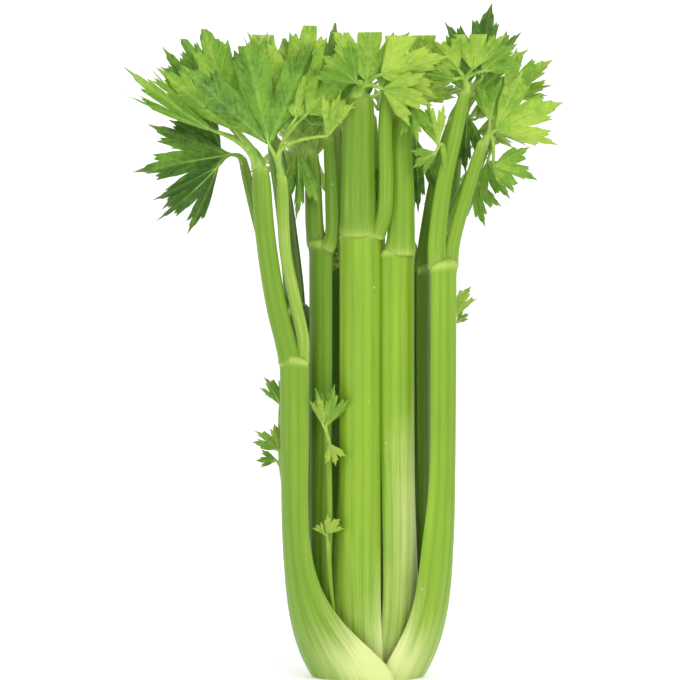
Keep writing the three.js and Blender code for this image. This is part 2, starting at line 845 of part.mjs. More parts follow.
// A short solid stem, flat where it was cut and domed above, that carries every stalk.
function crownSolid(grow) {
  const profile = [
    [0, 0],
    [crownRadius + grow, 0],
    [crownRadius + 0.8 + grow, crownHeight * 0.2 + grow],
    [crownRadius * 0.78 + grow, crownHeight * 0.55 + grow],
    [crownRadius * 0.4 + grow, crownHeight * 0.86 + grow],
    [0, crownHeight + grow],
  ].map(([r, z]) => new THREE.Vector2(r, z));
  const geometry = new THREE.LatheGeometry(profile, 24).rotateX(Math.PI / 2);
  geometry.deleteAttribute("normal");
  geometry.deleteAttribute("uv");
  const merged = mergeVertices(geometry, 1e-4);
  const points = [];
  for (let i = 0; i < merged.attributes.position.count; i++)
    points.push(new THREE.Vector3().fromBufferAttribute(merged.attributes.position, i));
  return solidFrom(points, Array.from(merged.index.array));
}

const stalkFinish = new THREE.MeshStandardMaterial({ color: 0x8fbf45, roughness: 0.42, metalness: 0 });
const leafFinish = new THREE.MeshStandardMaterial({ color: 0x5f9c33, roughness: 0.55, metalness: 0 });
const crownFinish = new THREE.MeshStandardMaterial({ color: 0xdde5b4, roughness: 0.5, metalness: 0 });

const head = new THREE.Group();

function addNode(name, solid, material) {
  const { vertProperties, triVerts, numProp } = solid.getMesh();
  const positions = new Float32Array((vertProperties.length / numProp) * 3);
  for (let i = 0; i < positions.length / 3; i++)
    positions.set(vertProperties.subarray(i * numProp, i * numProp + 3), i * 3);
  const geometry = new THREE.BufferGeometry();
  geometry.setAttribute("position", new THREE.BufferAttribute(positions, 3));
  geometry.setIndex(new THREE.BufferAttribute(new Uint32Array(triVerts), 1));
  geometry.computeVertexNormals();
  const mesh = new THREE.Mesh(geometry, material);
  mesh.name = name;
  head.add(mesh);
}

addNode("crown", crownSolid(0), crownFinish);
const grownCrown = crownSolid(gap);

for (const shoot of shoots) {
  const leaf = compoundLeaf(shoot.leaf, shoot, shoot.azimuth);
  addNode(shoot.name, largestBody(limbSolid(shoot, shoot.azimuth).subtract(grownCrown)), stalkFinish);
  addNode(shoot.name.replace("shoot", "leaf_shoot"), leaf, leafFinish);
}

for (const stalk of stalks) {
  stalk.limbs ??= spreadingLimbs(stalk, stalk.spread);
  const stations = [...stalkStations.filter((z) => z < stalk.joint - 25), stalk.joint - 8, stalk.joint];
  const parts = [petiole(stalk, stations), ...stalk.limbs.map((limb) => limbSolid(limb, stalk.azimuth))];
  addNode(stalk.name, largestBody(unite(parts).subtract(grownCrown)), stalkFinish);
  for (const limb of stalk.limbs.filter((limb) => limb.leaf))
    addNode(
      stalk.name.replace("stalk", "leaf") + "_" + limb.name,
      largestBody(compoundLeaf(limb.leaf, limb, stalk.azimuth)),
      leafFinish
    );
}

export default head;
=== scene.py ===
import math
import random
import bpy
import bmesh
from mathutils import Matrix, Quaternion, Vector, noise


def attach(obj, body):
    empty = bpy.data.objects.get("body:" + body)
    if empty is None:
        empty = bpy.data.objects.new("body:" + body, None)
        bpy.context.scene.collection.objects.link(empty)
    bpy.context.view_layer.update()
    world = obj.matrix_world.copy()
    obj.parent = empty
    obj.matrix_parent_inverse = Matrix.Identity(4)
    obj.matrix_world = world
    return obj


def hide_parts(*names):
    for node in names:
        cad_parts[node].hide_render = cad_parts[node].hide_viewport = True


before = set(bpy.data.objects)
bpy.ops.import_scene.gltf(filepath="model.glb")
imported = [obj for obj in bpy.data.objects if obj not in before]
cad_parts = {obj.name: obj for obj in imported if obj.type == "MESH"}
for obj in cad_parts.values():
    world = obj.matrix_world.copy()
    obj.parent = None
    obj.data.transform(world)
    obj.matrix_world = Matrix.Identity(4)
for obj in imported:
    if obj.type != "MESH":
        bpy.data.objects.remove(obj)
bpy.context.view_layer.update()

# A head of celery standing on its cut base: ribbed stalks round a short crown, pale joints,
# limbs, toothed compound leaves and thin leafy shoots. Places and sizes are millimetres until
# a mesh is built; +Z is up and the front faces -Y.
mm = 0.001

head = {
    "trimHeight": 319,       # the leaves are cut level here for sale
    "crownRadius": 21.5,
    "crownHeight": 21,
    "sheathFade": 46,        # height over which a stalk narrows from its sheath
    "curlFade": 40,          # height over which it curls from the head's curve to its own
    "swellHeight": 45,       # where a stalk that swells above its sheath is widest
    "swellReach": 38,
    "stalkReach": math.radians(76),
    "limbReach": math.radians(100),
    "tuckRamp": 12,          # degrees over which a sheath dips under its neighbour
    "tuckSlope": 0.13,
    "leafletNeck": 1.4,      # the width of a leaf stem where its blade begins
}

# A ring of stalks: the radius of its outer face at the cut, the radius higher up, how fast it
# swells, the wall of its stalks, the thickness of their side edges, the dip of a sheath that
# passes under the next, and the first heights of a stalk.
outerRing = {"foot": 28, "full": 48, "rise": 30, "wall": 6.2, "edge": 1.8, "ribs": 6,
             "ribHeight": 0.7, "tuck": 3, "start": (0, 0.35)}
middleRing = {"foot": 17, "full": 31.5, "rise": 17, "wall": 5.2, "edge": 1.7, "ribs": 5,
              "ribHeight": 0.6, "tuck": 2.8, "start": (7,)}
heartRing = {"foot": 6, "full": 13.5, "rise": 18, "wall": 3.4, "edge": 1.2, "ribs": 3,
             "ribHeight": 0.4, "tuck": 2, "start": (13,)}


# A leaflet: where its blade begins, None where the rule finds it, its tip, degrees from its
# middle vein to its side edge, degrees of roll about that vein, how steeply it folds up along
# it, how deep its lobes are and the height where it is cut.
def leaflet(base, tip, spread=62, roll=0, fold=0.25, depth=0.42, trim=head["trimHeight"]):
    return {"base": base, "tip": tip, "spread": spread, "roll": roll, "fold": fold, "depth": depth,
            "trim": trim}


# The stalks. Azimuths are degrees from the front towards +X, and a sheath is how far the foot of
# a stalk wraps round the head to each side; swell is how many millimetres it spreads to each
# side just above that; under is the angle past which it lies beneath its neighbour, 0 where it
# lies on top. Widths, limb paths and leaf tips are millimetres. A wash is a paler patch: its
# strength, height, reach, its share in the middle of the face and how much it favours one side,
# positive for the side of the greater azimuth. Thick is added to the wall of a stalk, and ridges
# makes its ribs stand out more.
stalks = [
    {"name": "stalk_outer_front_left", "ring": outerRing, "azimuth": -63, "joint": 160, "width": 23,
     "sheath": [44, 90], "under": [0, 0], "wash": (0.7, 8, 13, 0.02, 0.9),
     "limbs": [
         {"name": "a", "width": [14.5, 12],
          "path": [[-39.5, -20, 157], [-42, -21, 168], [-47.2, -25, 190], [-52, -28, 223], [-54, -30, 254]],
          "leaf": {"fork": 8, "facing": 0, "leaflets": [
              leaflet([-77, -22, 273], [-123, -20, 306], 17, roll=30, fold=0.4),
              leaflet([-81, -8, 284], [-103, -4, 316], 44),
              leaflet([-66, -28, 273], [-84, -26, 331], 52, trim=323),
              leaflet([-74, -1, 289], [-97, 2, 324], 44),
          ]}},
         # painted highlight: limb b is painted paler and hardly deeper green, for the bright line along it
         {"name": "b", "width": [8.5, 7.5], "deep": 0.05, "pale": 0.3,
          "path": [[-33.5, -22, 157], [-33, -24, 170], [-37, -28, 190], [-41.7, -31, 216], [-43, -33, 249]],
          "leaf": {"fork": 5, "facing": 0, "leaflets": [
              leaflet([-49, -40, 266], [-64, -56, 331], 54, trim=314, fold=0.12, depth=0.58),
              leaflet([-35.5, -40, 279], [-27, -48, 334], 58, trim=324),
              leaflet([-30, -42, 281], [-11, -46, 302], 60, roll=-15),
              leaflet([-20, -52, 270], [-13, -60, 293], 34, fold=0.5),
          ]}},
     ]},
    {"name": "stalk_outer_front_right", "ring": outerRing, "azimuth": 63, "joint": 207, "width": 20.5,
     "swell": [6, 0], "sheath": [49, 40], "under": [35, 0], "ridges": 1.4, "wash": (0.3, 9, 17, 0.3, -0.8),
     "limbs": [
         {"name": "a", "width": [13.5, 8],
          "path": [[36.3, -19.5, 204], [35, -20, 218], [38, -23, 245], [43, -25, 268], [48, -26, 291]],
          "leaf": {"fork": 5, "facing": 0, "leaflets": [
              leaflet([44, -34, 303], [30, -44, 318], 62),
              leaflet([51, -36, 303], [56, -42, 330], 54, trim=320),
              leaflet([56, -30, 302], [74, -38, 316], 52),
              leaflet([43, -34, 298], [26, -36, 300], 46),
          ]}},
         {"name": "b", "width": [9.5, 8],
          "path": [[41.5, -17, 204], [43, -16, 218], [49, -16, 240], [57, -17, 266]],
          "leaf": {"fork": 4, "facing": 0, "leaflets": [
              leaflet([63, -24, 273], [97, -34, 287], 62),
              leaflet([60, -22, 278], [66, -27, 300], 56),
              leaflet([62, -14, 255], [85, -14, 248], 66, roll=15),
          ]}},
         {"name": "c", "width": [4.6, 4.2],
          "path": [[39.5, -22, 247], [38.5, -27, 256], [37, -30, 264]],
          "leaf": {"fork": 3, "facing": 0, "leaflets": [
              leaflet([34, -36, 266], [28, -38, 290], 34, fold=0.5),
              leaflet([33, -34, 262], [21, -38, 254], 52),
          ]}},
     ]},
    {"name": "stalk_outer_back_right", "ring": outerRing, "azimuth": 121, "joint": 178, "width": 22,
     "sheath": [32, 36], "under": [19, 0],
     "spread": {"sides": [0, 1], "length": 90, "flare": 13, "size": 45, "leaflets": 4}},
    {"name": "stalk_outer_back", "ring": outerRing, "azimuth": 180, "joint": 196, "width": 24,
     "sheath": [36, 38], "under": [23, 0],
     "spread": {"sides": [0, 1], "length": 84, "flare": 15, "size": 52, "leaflets": 4}},
    {"name": "stalk_outer_back_left", "ring": outerRing, "azimuth": -121, "joint": 184, "width": 22,
     "sheath": [34, 24], "under": [21, 14],
     "limbs": [
         {"name": "a", "width": [14, 10],
          "path": [[-38, 22, 181], [-39, 24, 200], [-43, 27, 235], [-48, 30, 268]],
          "leaf": {"leaflets": [
              leaflet(None, [-60, 38, 334], 54, trim=322),
              leaflet(None, [-88, 32, 306]),
              leaflet(None, [-56, 62, 300], 44),
          ]}},
         {"name": "b", "width": [8, 6],
          "path": [[-42, 15, 181], [-47, 13, 196], [-56, 12, 228], [-63, 9, 258]],
          "leaf": {"facing": -20, "leaflets": [
              leaflet([-70, 4, 261], [-119, -4, 252], 46, roll=10),
              leaflet([-75, -1, 255], [-107, -8, 226], 32, roll=20),
              leaflet([-74, 10, 264], [-101, 6, 279], 56),
          ]}},
     ]},
    {"name": "stalk_middle_front", "ring": middleRing, "azimuth": -10, "joint": 223, "width": 21,
     "swell": [4, 1.2], "sheath": [44, 30], "under": [0, 0], "wash": (0.22, 26, 46, 0.8, 0.2),
     "limbs": [
         # painted shade: limb a is painted deeper green than the default
         {"name": "a", "width": [18.5, 15.5], "deep": 0.55,
          "path": [[-5.2, -27, 220], [-5.5, -27.5, 234], [-5.5, -29, 250], [-5.5, -31, 270], [-5, -33, 289]],
          "leaf": {"fork": 4, "facing": 0, "leaflets": [
              leaflet([-1, -42, 297], [2, -44, 336], 56, trim=321),
              leaflet([-6, -50, 296], [-24, -64, 310], 58),
              leaflet([6, -46, 300], [40, -55, 309], 66),
              leaflet([7, -44, 293], [32, -50, 284], 58),
          ]}},
         {"name": "b", "width": [8, 6.5],
          "path": [[3.5, -27, 220], [7.5, -29, 231], [8.5, -31, 247], [8.5, -32, 282], [15.5, -30, 316]]},
     ]},
    {"name": "stalk_middle_front_right", "ring": middleRing, "azimuth": 36.3, "joint": 214, "width": 20.5,
     "swell": [1.2, 3.5], "sheath": [27, 32], "under": [14, 0], "ridges": 1.9,
     "wash": (0.72, 76, 60, 0.66, 0.34),
     "limbs": [
         {"name": "a", "width": [16, 11],
          "path": [[17, -23.5, 211], [17.5, -23.5, 224], [17.5, -24, 245], [16.8, -24, 265], [17, -24, 280]],
          "leaf": {"fork": 5, "facing": 0, "leaflets": [
              leaflet([22, -24, 291], [30, -26, 334], 50, trim=320),
              leaflet([24, -28, 289], [44, -30, 302], 56),
              leaflet([20, -38, 287], [24, -44, 266], 44, roll=10),
              leaflet([24, -12, 268], [25, -8, 230], 34),
          ]}},
     ]},
    {"name": "stalk_middle_right", "ring": middleRing, "azimuth": 88, "joint": 205, "width": 17,
     "thick": 1.6, "sheath": [33, 32], "under": [22, 0],
     "limbs": [
         {"name": "a", "width": [12, 8],
          "path": [[27, -1, 202], [29, -1, 220], [34, -1, 250], [42, 0, 278]],
          "leaf": {"facing": 20, "leaflets": [
              leaflet([57, -1, 299], [62, -2, 338], 58, trim=340),
              leaflet([48, 6, 294], [44, 12, 332], 50, trim=321),
              leaflet([55, 8, 292], [82, 12, 315], 50),
              leaflet([50, 13, 282], [50, 13, 250], 40),
          ]}},
         {"name": "b", "width": [8, 6],
          "path": [[30, 4, 202], [36, 7, 217], [48, 5, 245], [62, 1, 274]],
          "leaf": {"facing": 30, "leaflets": [
              leaflet([69, 1, 289], [93, -4, 309], 54),
              leaflet([72, 5, 288], [93, 3, 297], 36),
              leaflet([60, 8, 258], [72, 10, 238], 60),
              leaflet([54, 11, 247], [60, 13, 224], 56),
          ]}},
     ]},
    {"name": "stalk_middle_back_right", "ring": middleRing, "azimuth": 137, "joint": 216, "width": 19,
     "sheath": [28, 36], "under": [17, 0], "spread": {"sides": [0], "length": 62, "flare": 9, "size": 34}},
    {"name": "stalk_middle_back_left", "ring": middleRing, "azimuth": -149, "joint": 206, "width": 18,
     "sheath": [49, 17], "under": [38, 0], "spread": {"sides": [0], "length": 68, "flare": 8, "size": 31}},
    {"name": "stalk_middle_left", "ring": middleRing, "azimuth": -64, "joint": 217, "width": 18,
     "sheath": [78, 20], "under": [68, 10],
     "limbs": [
         {"name": "a", "width": [12.5, 10],
          "path": [[-26, -9.5, 214], [-27.5, -10, 226], [-28, -9, 242], [-28.5, -7, 260]],
          "leaf": {"facing": -20, "leaflets": [
              leaflet([-33, 2, 272], [-44, -6, 326], 48),
              leaflet([-26, -2, 272], [-14, -8, 318], 50),
              leaflet([-35, -14, 264], [-36, -22, 227], 30),
          ]}},
         {"name": "b", "width": [9.5, 8.5],
          "path": [[-21.5, -17, 214], [-18.5, -18, 222], [-18.5, -17, 237], [-19, -15, 252], [-20, -13, 268]],
          "leaf": {"facing": -10, "leaflets": [
              leaflet([-22, -18, 281], [-16, -25, 330], 48, trim=326),
              leaflet([-28, -16, 276], [-50, -22, 294], 52),
          ]}},
     ]},
    {"name": "stalk_heart_front", "ring": heartRing, "azimuth": 20, "joint": 176, "width": 9,
     "sheath": [60, 60], "under": [0, 0], "spread": {"sides": [0], "length": 62, "flare": 1, "size": 20}},
    {"name": "stalk_heart_back", "ring": heartRing, "azimuth": 140, "joint": 160, "width": 9,
     "sheath": [62, 58], "under": [50, 0],
     "spread": {"sides": [0], "length": 56, "flare": 1, "size": 19.4}},
    {"name": "stalk_heart_left", "ring": heartRing, "azimuth": -100, "joint": 150, "width": 8.5,
     "sheath": [60, 70], "under": [48, 56], "spread": {"sides": [0], "length": 50, "flare": 1, "size": 18}},
]

# Side shoots: thin leafy stems that grow up between the rings of stalks.
shoots = [
    {"name": "shoot_front_left", "azimuth": -55, "width": [2.6, 3.6],
     "path": [[-19.3, -19.6, 22], [-20, -25.4, 45], [-19.3, -27.5, 80], [-20, -27, 117]],
     "leaf": {"fork": 4, "facing": -10, "leaflets": [
         leaflet([-21, -30, 127], [-16.5, -36, 149], 44),
         leaflet([-22.5, -31, 128], [-25, -36, 144], 36),
         leaflet([-19, -31, 118], [-16, -36, 107], 52),
     ]}},
    {"name": "shoot_front_low", "azimuth": -30, "width": [2.2, 2.6],
     "path": [[-16.3, -25, 26], [-18.5, -27.8, 45], [-20, -30, 68]],
     "leaf": {"fork": 3, "facing": 0, "leaflets": [
         leaflet([-20.5, -31, 74], [-13.5, -35, 82], 56),
         leaflet([-22, -31, 74], [-26.5, -35, 79], 40),
     ]}},
    {"name": "shoot_left", "azimuth": -90, "width": [2.6, 3.6],
     "path": [[-28, 7, 22], [-35, 8, 50], [-40, 6, 75], [-43, 1, 100]],
     "leaf": {"fork": 3, "facing": -30, "leaflets": [
         leaflet([-44.5, 1, 113], [-58, -3, 124], 58),
         leaflet([-46, 3, 108], [-57, 1, 108], 50),
         leaflet([-44, 4, 136], [-53, 2, 151], 50),
     ]}},
    {"name": "shoot_right", "azimuth": 92, "width": [2.6, 3.6],
     "path": [[26, 10, 22], [32, 12, 50], [35, 11, 110], [42, 9, 172]],
     "leaf": {"fork": 4, "facing": 30, "leaflets": [
         leaflet([44, 7, 180], [52, 2, 196], 56),
         leaflet([45, 11, 177], [52, 12, 182], 48),
     ]}},
]


def lerp(a, b, t):
    return a + (b - a) * t


def smooth(x):
    x = max(0.0, min(1.0, x))
    return x * x * (3 - 2 * x)


def outwardAt(azimuth):
    return Vector((math.sin(math.radians(azimuth)), -math.cos(math.radians(azimuth)), 0))


# A colour as Blender's shaders take it, from the way a screen shows it.
def shade(red, green, blue):
    def straight(value):
        value /= 255
        return value / 12.92 if value <= 0.04045 else ((value + 0.055) / 1.055) ** 2.4
    return (straight(red), straight(green), straight(blue), 1)


# One output socket of a node tree, so that arithmetic on it adds Math nodes.
class Wire:
    def __init__(self, bench, socket):
        self.bench, self.socket = bench, socket

    def __add__(self, other):
        return self.bench.maths("ADD", self, other)

    def __radd__(self, other):
        return self.bench.maths("ADD", other, self)

    def __sub__(self, other):
        return self.bench.maths("SUBTRACT", self, other)

    def __rsub__(self, other):
        return self.bench.maths("SUBTRACT", other, self)

    def __mul__(self, other):
        return self.bench.maths("MULTIPLY", self, other)

    def __rmul__(self, other):
        return self.bench.maths("MULTIPLY", other, self)

    def __truediv__(self, other):
        return self.bench.maths("DIVIDE", self, other)

    def __rtruediv__(self, other):
        return self.bench.maths("DIVIDE", other, self)

    def __pow__(self, other):
        return self.bench.maths("POWER", self, other)


# A node tree under construction. make() takes a node's type, its settings and its sockets.
class Bench:
    def __init__(self, tree):
        self.tree = tree

    def make(self, kind, settings=None, sockets=None, out=0):
        node = self.tree.nodes.new(kind)
        for name, value in (settings or {}).items():
            setattr(node, name, value)
        for name, value in (sockets or {}).items():
            socket = node.inputs[name]
            if isinstance(value, Wire):
                self.tree.links.new(value.socket, socket)
            else:
                socket.default_value = value
        return Wire(self, node.outputs[out]) if node.outputs else None

    def maths(self, operation, *values):
        return self.make("ShaderNodeMath", {"operation": operation}, dict(enumerate(values)))

    def sine(self, value):
        return self.maths("SINE", value)

    def cosine(self, value):
        return self.maths("COSINE", value)

    def size(self, value):
        return self.maths("ABSOLUTE", value)

    # 0 below the first value and 1 above the second, smooth between them
    def ease(self, value, low, high):
        return self.make("ShaderNodeMapRange", {"interpolation_type": "SMOOTHSTEP"},
                         {"Value": value, "From Min": low, "From Max": high})

    def blend(self, factor, first, second):
        return self.make("ShaderNodeMix", {"data_type": "RGBA"}, {0: factor, 6: first, 7: second}, 2)

    def noise(self, vector, scale, detail=3):
        return self.make("ShaderNodeTexNoise", {}, {"Vector": vector, "Scale": scale, "Detail": detail})

    def cells(self, vector, scale, feature="F1"):
        return self.make("ShaderNodeTexVoronoi", {"feature": feature}, {"Vector": vector, "Scale": scale})

    def place(self):
        return self.make("ShaderNodeTexCoord", {}, {}, 3)

    def bump(self, height, strength, distance):
        return self.make("ShaderNodeBump", {}, {"Height": height, "Strength": strength, "Distance": distance})

    def attribute(self, name):
        return self.make("ShaderNodeAttribute", {"attribute_name": name}, {}, 2)

    def parts(self, vector):
        node = self.make("ShaderNodeSeparateXYZ", {}, {0: vector}).socket.node
        return [Wire(self, socket) for socket in node.outputs]

    def vector(self, x, y, z=0):
        return self.make("ShaderNodeCombineXYZ", {}, {0: x, 1: y, 2: z})

    def scaled(self, vector, factor):
        return self.make("ShaderNodeVectorMath", {"operation": "SCALE"}, {0: vector, "Scale": factor})

    def sum(self, *vectors):
        total = vectors[0]
        for vector in vectors[1:]:
            total = self.make("ShaderNodeVectorMath", {"operation": "ADD"}, {0: total, 1: vector})
        return total


def newObject(name, data):
    thing = bpy.data.objects.new(name, data)
    bpy.context.scene.collection.objects.link(thing)
    return thing


def newMaterial(name, paint, constants):
    material = bpy.data.materials.new(name)
    material.use_nodes = True
    tree = material.node_tree
    surface = tree.nodes["Principled BSDF"]
    for socket, value in constants.items():
        surface.inputs[socket].default_value = value
    for socket, wire in paint(Bench(tree)).items():
        tree.links.new(wire.socket, surface.inputs[socket])
    return material


# The skin of a stalk. Scales are repeats to a metre.
stalkPaint = {
    "deep": shade(107, 148, 33),
    "bright": shade(144, 179, 44),
    # the green of painted shade, for stalks and limbs that stand back or lie behind others
    "paintedShadeGreen": shade(74, 118, 26),
    "foot": shade(213, 222, 148),
    "joint": shade(186, 208, 102),
    "flesh": shade(226, 234, 190),
    "streakScale": 1500,
    "streakStretch": 0.02,   # how much slower streaks change along the stalk than across it
    "broadScale": 150,
    "broadStretch": 0.06,
    "cloudScale": 28,
    "speckScale": 95,
    "speckStretch": 0.6,
    "grainScale": 1900,
}


# What the finish of a stalk reads at each point: how near it is to the crest of a rib, how pale,
# how much joint, 1 on a cut face, and how deep a green, which is painted shade on stalks and limbs that stand
# back or lie behind others, partly also a stalk's own tone.
stalkMarks = ("crest", "pale", "joint", "cut", "deep")


def stalkFinish(name, deep, bright, foot):
    def paint(bench):
        grain = bench.make("ShaderNodeUVMap", {"uv_map": "skin"})
        across, along, _ = bench.parts(grain)
        long = bench.vector(across, along * stalkPaint["streakStretch"])
        streak = bench.noise(long, stalkPaint["streakScale"], 4)
        wide = bench.vector(across, along * stalkPaint["broadStretch"])
        broad = bench.noise(wide, stalkPaint["broadScale"])
        place = bench.place()
        cloud = bench.noise(place, stalkPaint["cloudScale"], 2)
        crest, pale, joint, cut, depth = (bench.attribute(mark) for mark in stalkMarks)
        light = streak * 0.34 + broad * 0.5 + cloud * 0.14 + crest * 0.15 - 0.07
        colour = bench.blend(bench.ease(light, 0.15, 0.85), deep, bright)
        # painted shade: the deep mark darkens the skin towards a shaded green
        colour = bench.blend(depth * 0.72, colour, stalkPaint["paintedShadeGreen"])
        footMask = bench.ease(pale + (streak - 0.5) * 0.6 + (cloud - 0.5) * 0.5, 0.1, 1.05)
        colour = bench.blend(footMask, colour, foot)
        colour = bench.blend(joint * (streak * 0.5 + 0.38), colour, stalkPaint["joint"])
        speckPlace = bench.vector(across, along * stalkPaint["speckStretch"])
        dot = 1 - bench.ease(bench.cells(speckPlace, stalkPaint["speckScale"]), 0.02, 0.05)
        colour = bench.blend(dot * 0.55, colour, stalkPaint["flesh"])
        colour = bench.blend(cut, colour, stalkPaint["flesh"])
        fine = bench.noise(place, stalkPaint["grainScale"], 2)
        bump = bench.bump(streak * 0.7 + fine * 0.3, 0.35, 0.00025)
        rough = 0.38 + streak * 0.16 + cut * 0.2
        return {"Base Color": colour, "Roughness": rough, "Normal": bump}
    return newMaterial(name, paint, {"Subsurface Weight": 0.14, "Subsurface Scale": 0.004,
                                     "Subsurface Radius": (0.8, 1.0, 0.25), "Specular IOR Level": 0.3,
                                     "Coat Weight": 0.03, "Coat Roughness": 0.3})


# Three greens of the upper side of a leaf, and of its lower side.
topPaint = {"shadow": shade(58, 98, 25), "body": shade(114, 162, 42), "sun": shade(172, 202, 70)}
underPaint = {"shadow": shade(66, 116, 42), "body": shade(116, 168, 66), "sun": shade(156, 198, 88)}
leafPaint = {
    "vein": shade(178, 206, 104),
    "lateralSlope": 1.5,     # how steeply the side veins leave the middle one
    "lateralSpacing": 0.15,  # as a share of the leaflet's length
    "netScale": 26,
    "raysScale": 26,
    "cloudScale": 55,
    "mottleScale": 420,
    "wrinkleScale": 190,
}


def leafFinish(name, greens, lift, gloss):
    def paint(bench):
        grain = bench.make("ShaderNodeUVMap", {"uv_map": "blade"})
        across, along, _ = bench.parts(grain)
        away = bench.size(across)
        turn = (along - away * leafPaint["lateralSlope"]) / leafPaint["lateralSpacing"]
        ladder = bench.size(bench.maths("FRACT", turn) - 0.5) * 2
        lateral = bench.ease(ladder, 0.86, 0.99) * (1 - bench.ease(away, 0.2, 0.42))
        midrib = 1 - bench.ease(away, 0.005, 0.02)
        net = 1 - bench.ease(bench.cells(grain, leafPaint["netScale"], "DISTANCE_TO_EDGE"), 0.0, 0.1)
        place = bench.place()
        cloud = bench.noise(place, leafPaint["cloudScale"])
        mottle = bench.noise(place, leafPaint["mottleScale"])
        bent = along - away * leafPaint["lateralSlope"] + (cloud - 0.5) * 0.12
        rays = bench.noise(bench.vector(bent, away * 0.6), leafPaint["raysScale"])
        # the leaflet's own tone together with painted light and shade: lower for leaflets in shade, higher
        # for lit ones and young leaves
        toneAndLight = bench.attribute("toneAndLight")
        light = toneAndLight + (cloud - 0.5) * 1.1 + (rays - 0.5) * 0.6 + (mottle - 0.5) * 0.5 + lift
        colour = bench.blend(bench.ease(light, -0.05, 0.55), greens["shadow"], greens["body"])
        colour = bench.blend(bench.ease(light, 0.5, 1.1), colour, greens["sun"])
        veins = bench.maths("MAXIMUM", midrib, bench.maths("MAXIMUM", lateral * 0.3, net * 0.2))
        veins = veins * (0.12 + bench.ease(toneAndLight, 0.1, 0.9) * 0.2)
        colour = bench.blend(veins, colour, leafPaint["vein"])
        wrinkle = bench.noise(place, leafPaint["wrinkleScale"], 2)
        height = net * -0.25 + lateral * -0.45 + midrib * -0.6 + mottle * 0.3 + wrinkle * 1.6 + rays * 1.2
        rough = 0.42 + gloss + mottle * 0.14
        return {"Base Color": colour, "Roughness": rough, "Normal": bench.bump(height, 0.75, 0.0007)}
    return newMaterial(name, paint, {"Subsurface Weight": 0.18, "Subsurface Scale": 0.0015,
                                     "Subsurface Radius": (0.7, 1.0, 0.2), "Specular IOR Level": 0.36})


stemPaint = {"shadow": shade(112, 156, 46), "sun": shade(160, 194, 78), "cloudScale": 160}


def stemFinish(name):
    def paint(bench):
        place = bench.place()
        cloud = bench.noise(place, stemPaint["cloudScale"])
        colour = bench.blend(bench.ease(cloud, 0.3, 0.7), stemPaint["shadow"], stemPaint["sun"])
        rough = 0.34 + cloud * 0.1
        return {"Base Color": colour, "Roughness": rough, "Normal": bench.bump(cloud, 0.2, 0.0003)}
    return newMaterial(name, paint, {"Subsurface Weight": 0.15, "Subsurface Scale": 0.003})


crownPaint = {"flesh": shade(214, 222, 168), "light": shade(236, 238, 206), "strand": shade(150, 176, 84),
              "rim": shade(186, 178, 118), "cloudScale": 90, "strandScale": 420}


def crownFinish(name):
    def paint(bench):
        place = bench.place()
        x, y, _ = bench.parts(place)
        radius = (x * x + y * y) ** 0.5 / (head["crownRadius"] * mm)
        cloud = bench.noise(place, crownPaint["cloudScale"], 4)
        strand = 1 - bench.ease(bench.cells(place, crownPaint["strandScale"]), 0.12, 0.3)
        ringMask = bench.ease(radius, 0.45, 0.75)
        colour = bench.blend(bench.ease(cloud, 0.35, 0.7), crownPaint["flesh"], crownPaint["light"])
        colour = bench.blend(strand * ringMask * 0.6, colour, crownPaint["strand"])
        edge = bench.ease(radius + (cloud - 0.5) * 0.2, 0.85, 1.02)
        colour = bench.blend(edge * 0.6, colour, crownPaint["rim"])
        bump = bench.bump(cloud + strand * 0.4, 0.3, 0.0004)
        return {"Base Color": colour, "Roughness": 0.42 + cloud * 0.2, "Normal": bump}
    return newMaterial(name, paint, {"Subsurface Weight": 0.2, "Subsurface Scale": 0.004})


finishes = {
    "stalk": stalkFinish("stalkSkin", stalkPaint["deep"], stalkPaint["bright"], stalkPaint["foot"]),
    "heart_stalk": stalkFinish("heartSkin", shade(176, 200, 92), shade(208, 220, 132), stalkPaint["foot"]),
    "leafTop": leafFinish("leafTopSide", topPaint, 0.0, 0.0),
    "leafUnder": leafFinish("leafUnderside", underPaint, 0.04, 0.14),
    "stem": stemFinish("leafStemSkin"),
    "crown": crownFinish("crownFlesh"),
}
print("finishes made")


# A point on a smooth curve through knots, at t from 0 to 1, and the direction there.
def curveAt(knots, t):
    spans = len(knots) - 1
    i = min(spans - 1, int(t * spans))
    f = t * spans - i
    a, b, c, d = (knots[max(0, min(spans, k))] for k in (i - 1, i, i + 1, i + 2))
    place = 0.5 * (2 * b + (c - a) * f + (2 * a - 5 * b + 4 * c - d) * f ** 2
                   + (3 * b - a - 3 * c + d) * f ** 3)
    slope = 0.5 * (c - a + 2 * (2 * a - 5 * b + 4 * c - d) * f + 3 * (3 * b - a - 3 * c + d) * f ** 2)
    return place, slope.normalized()


# Ribs in a section: points to a rib, higher ribShape for narrower ones, and the fine ridges on
# each, as a number and a share of its height.
section = {"perRib": 6, "ribShape": 0.7, "fineRidges": 5, "fineHeight": 0.12}


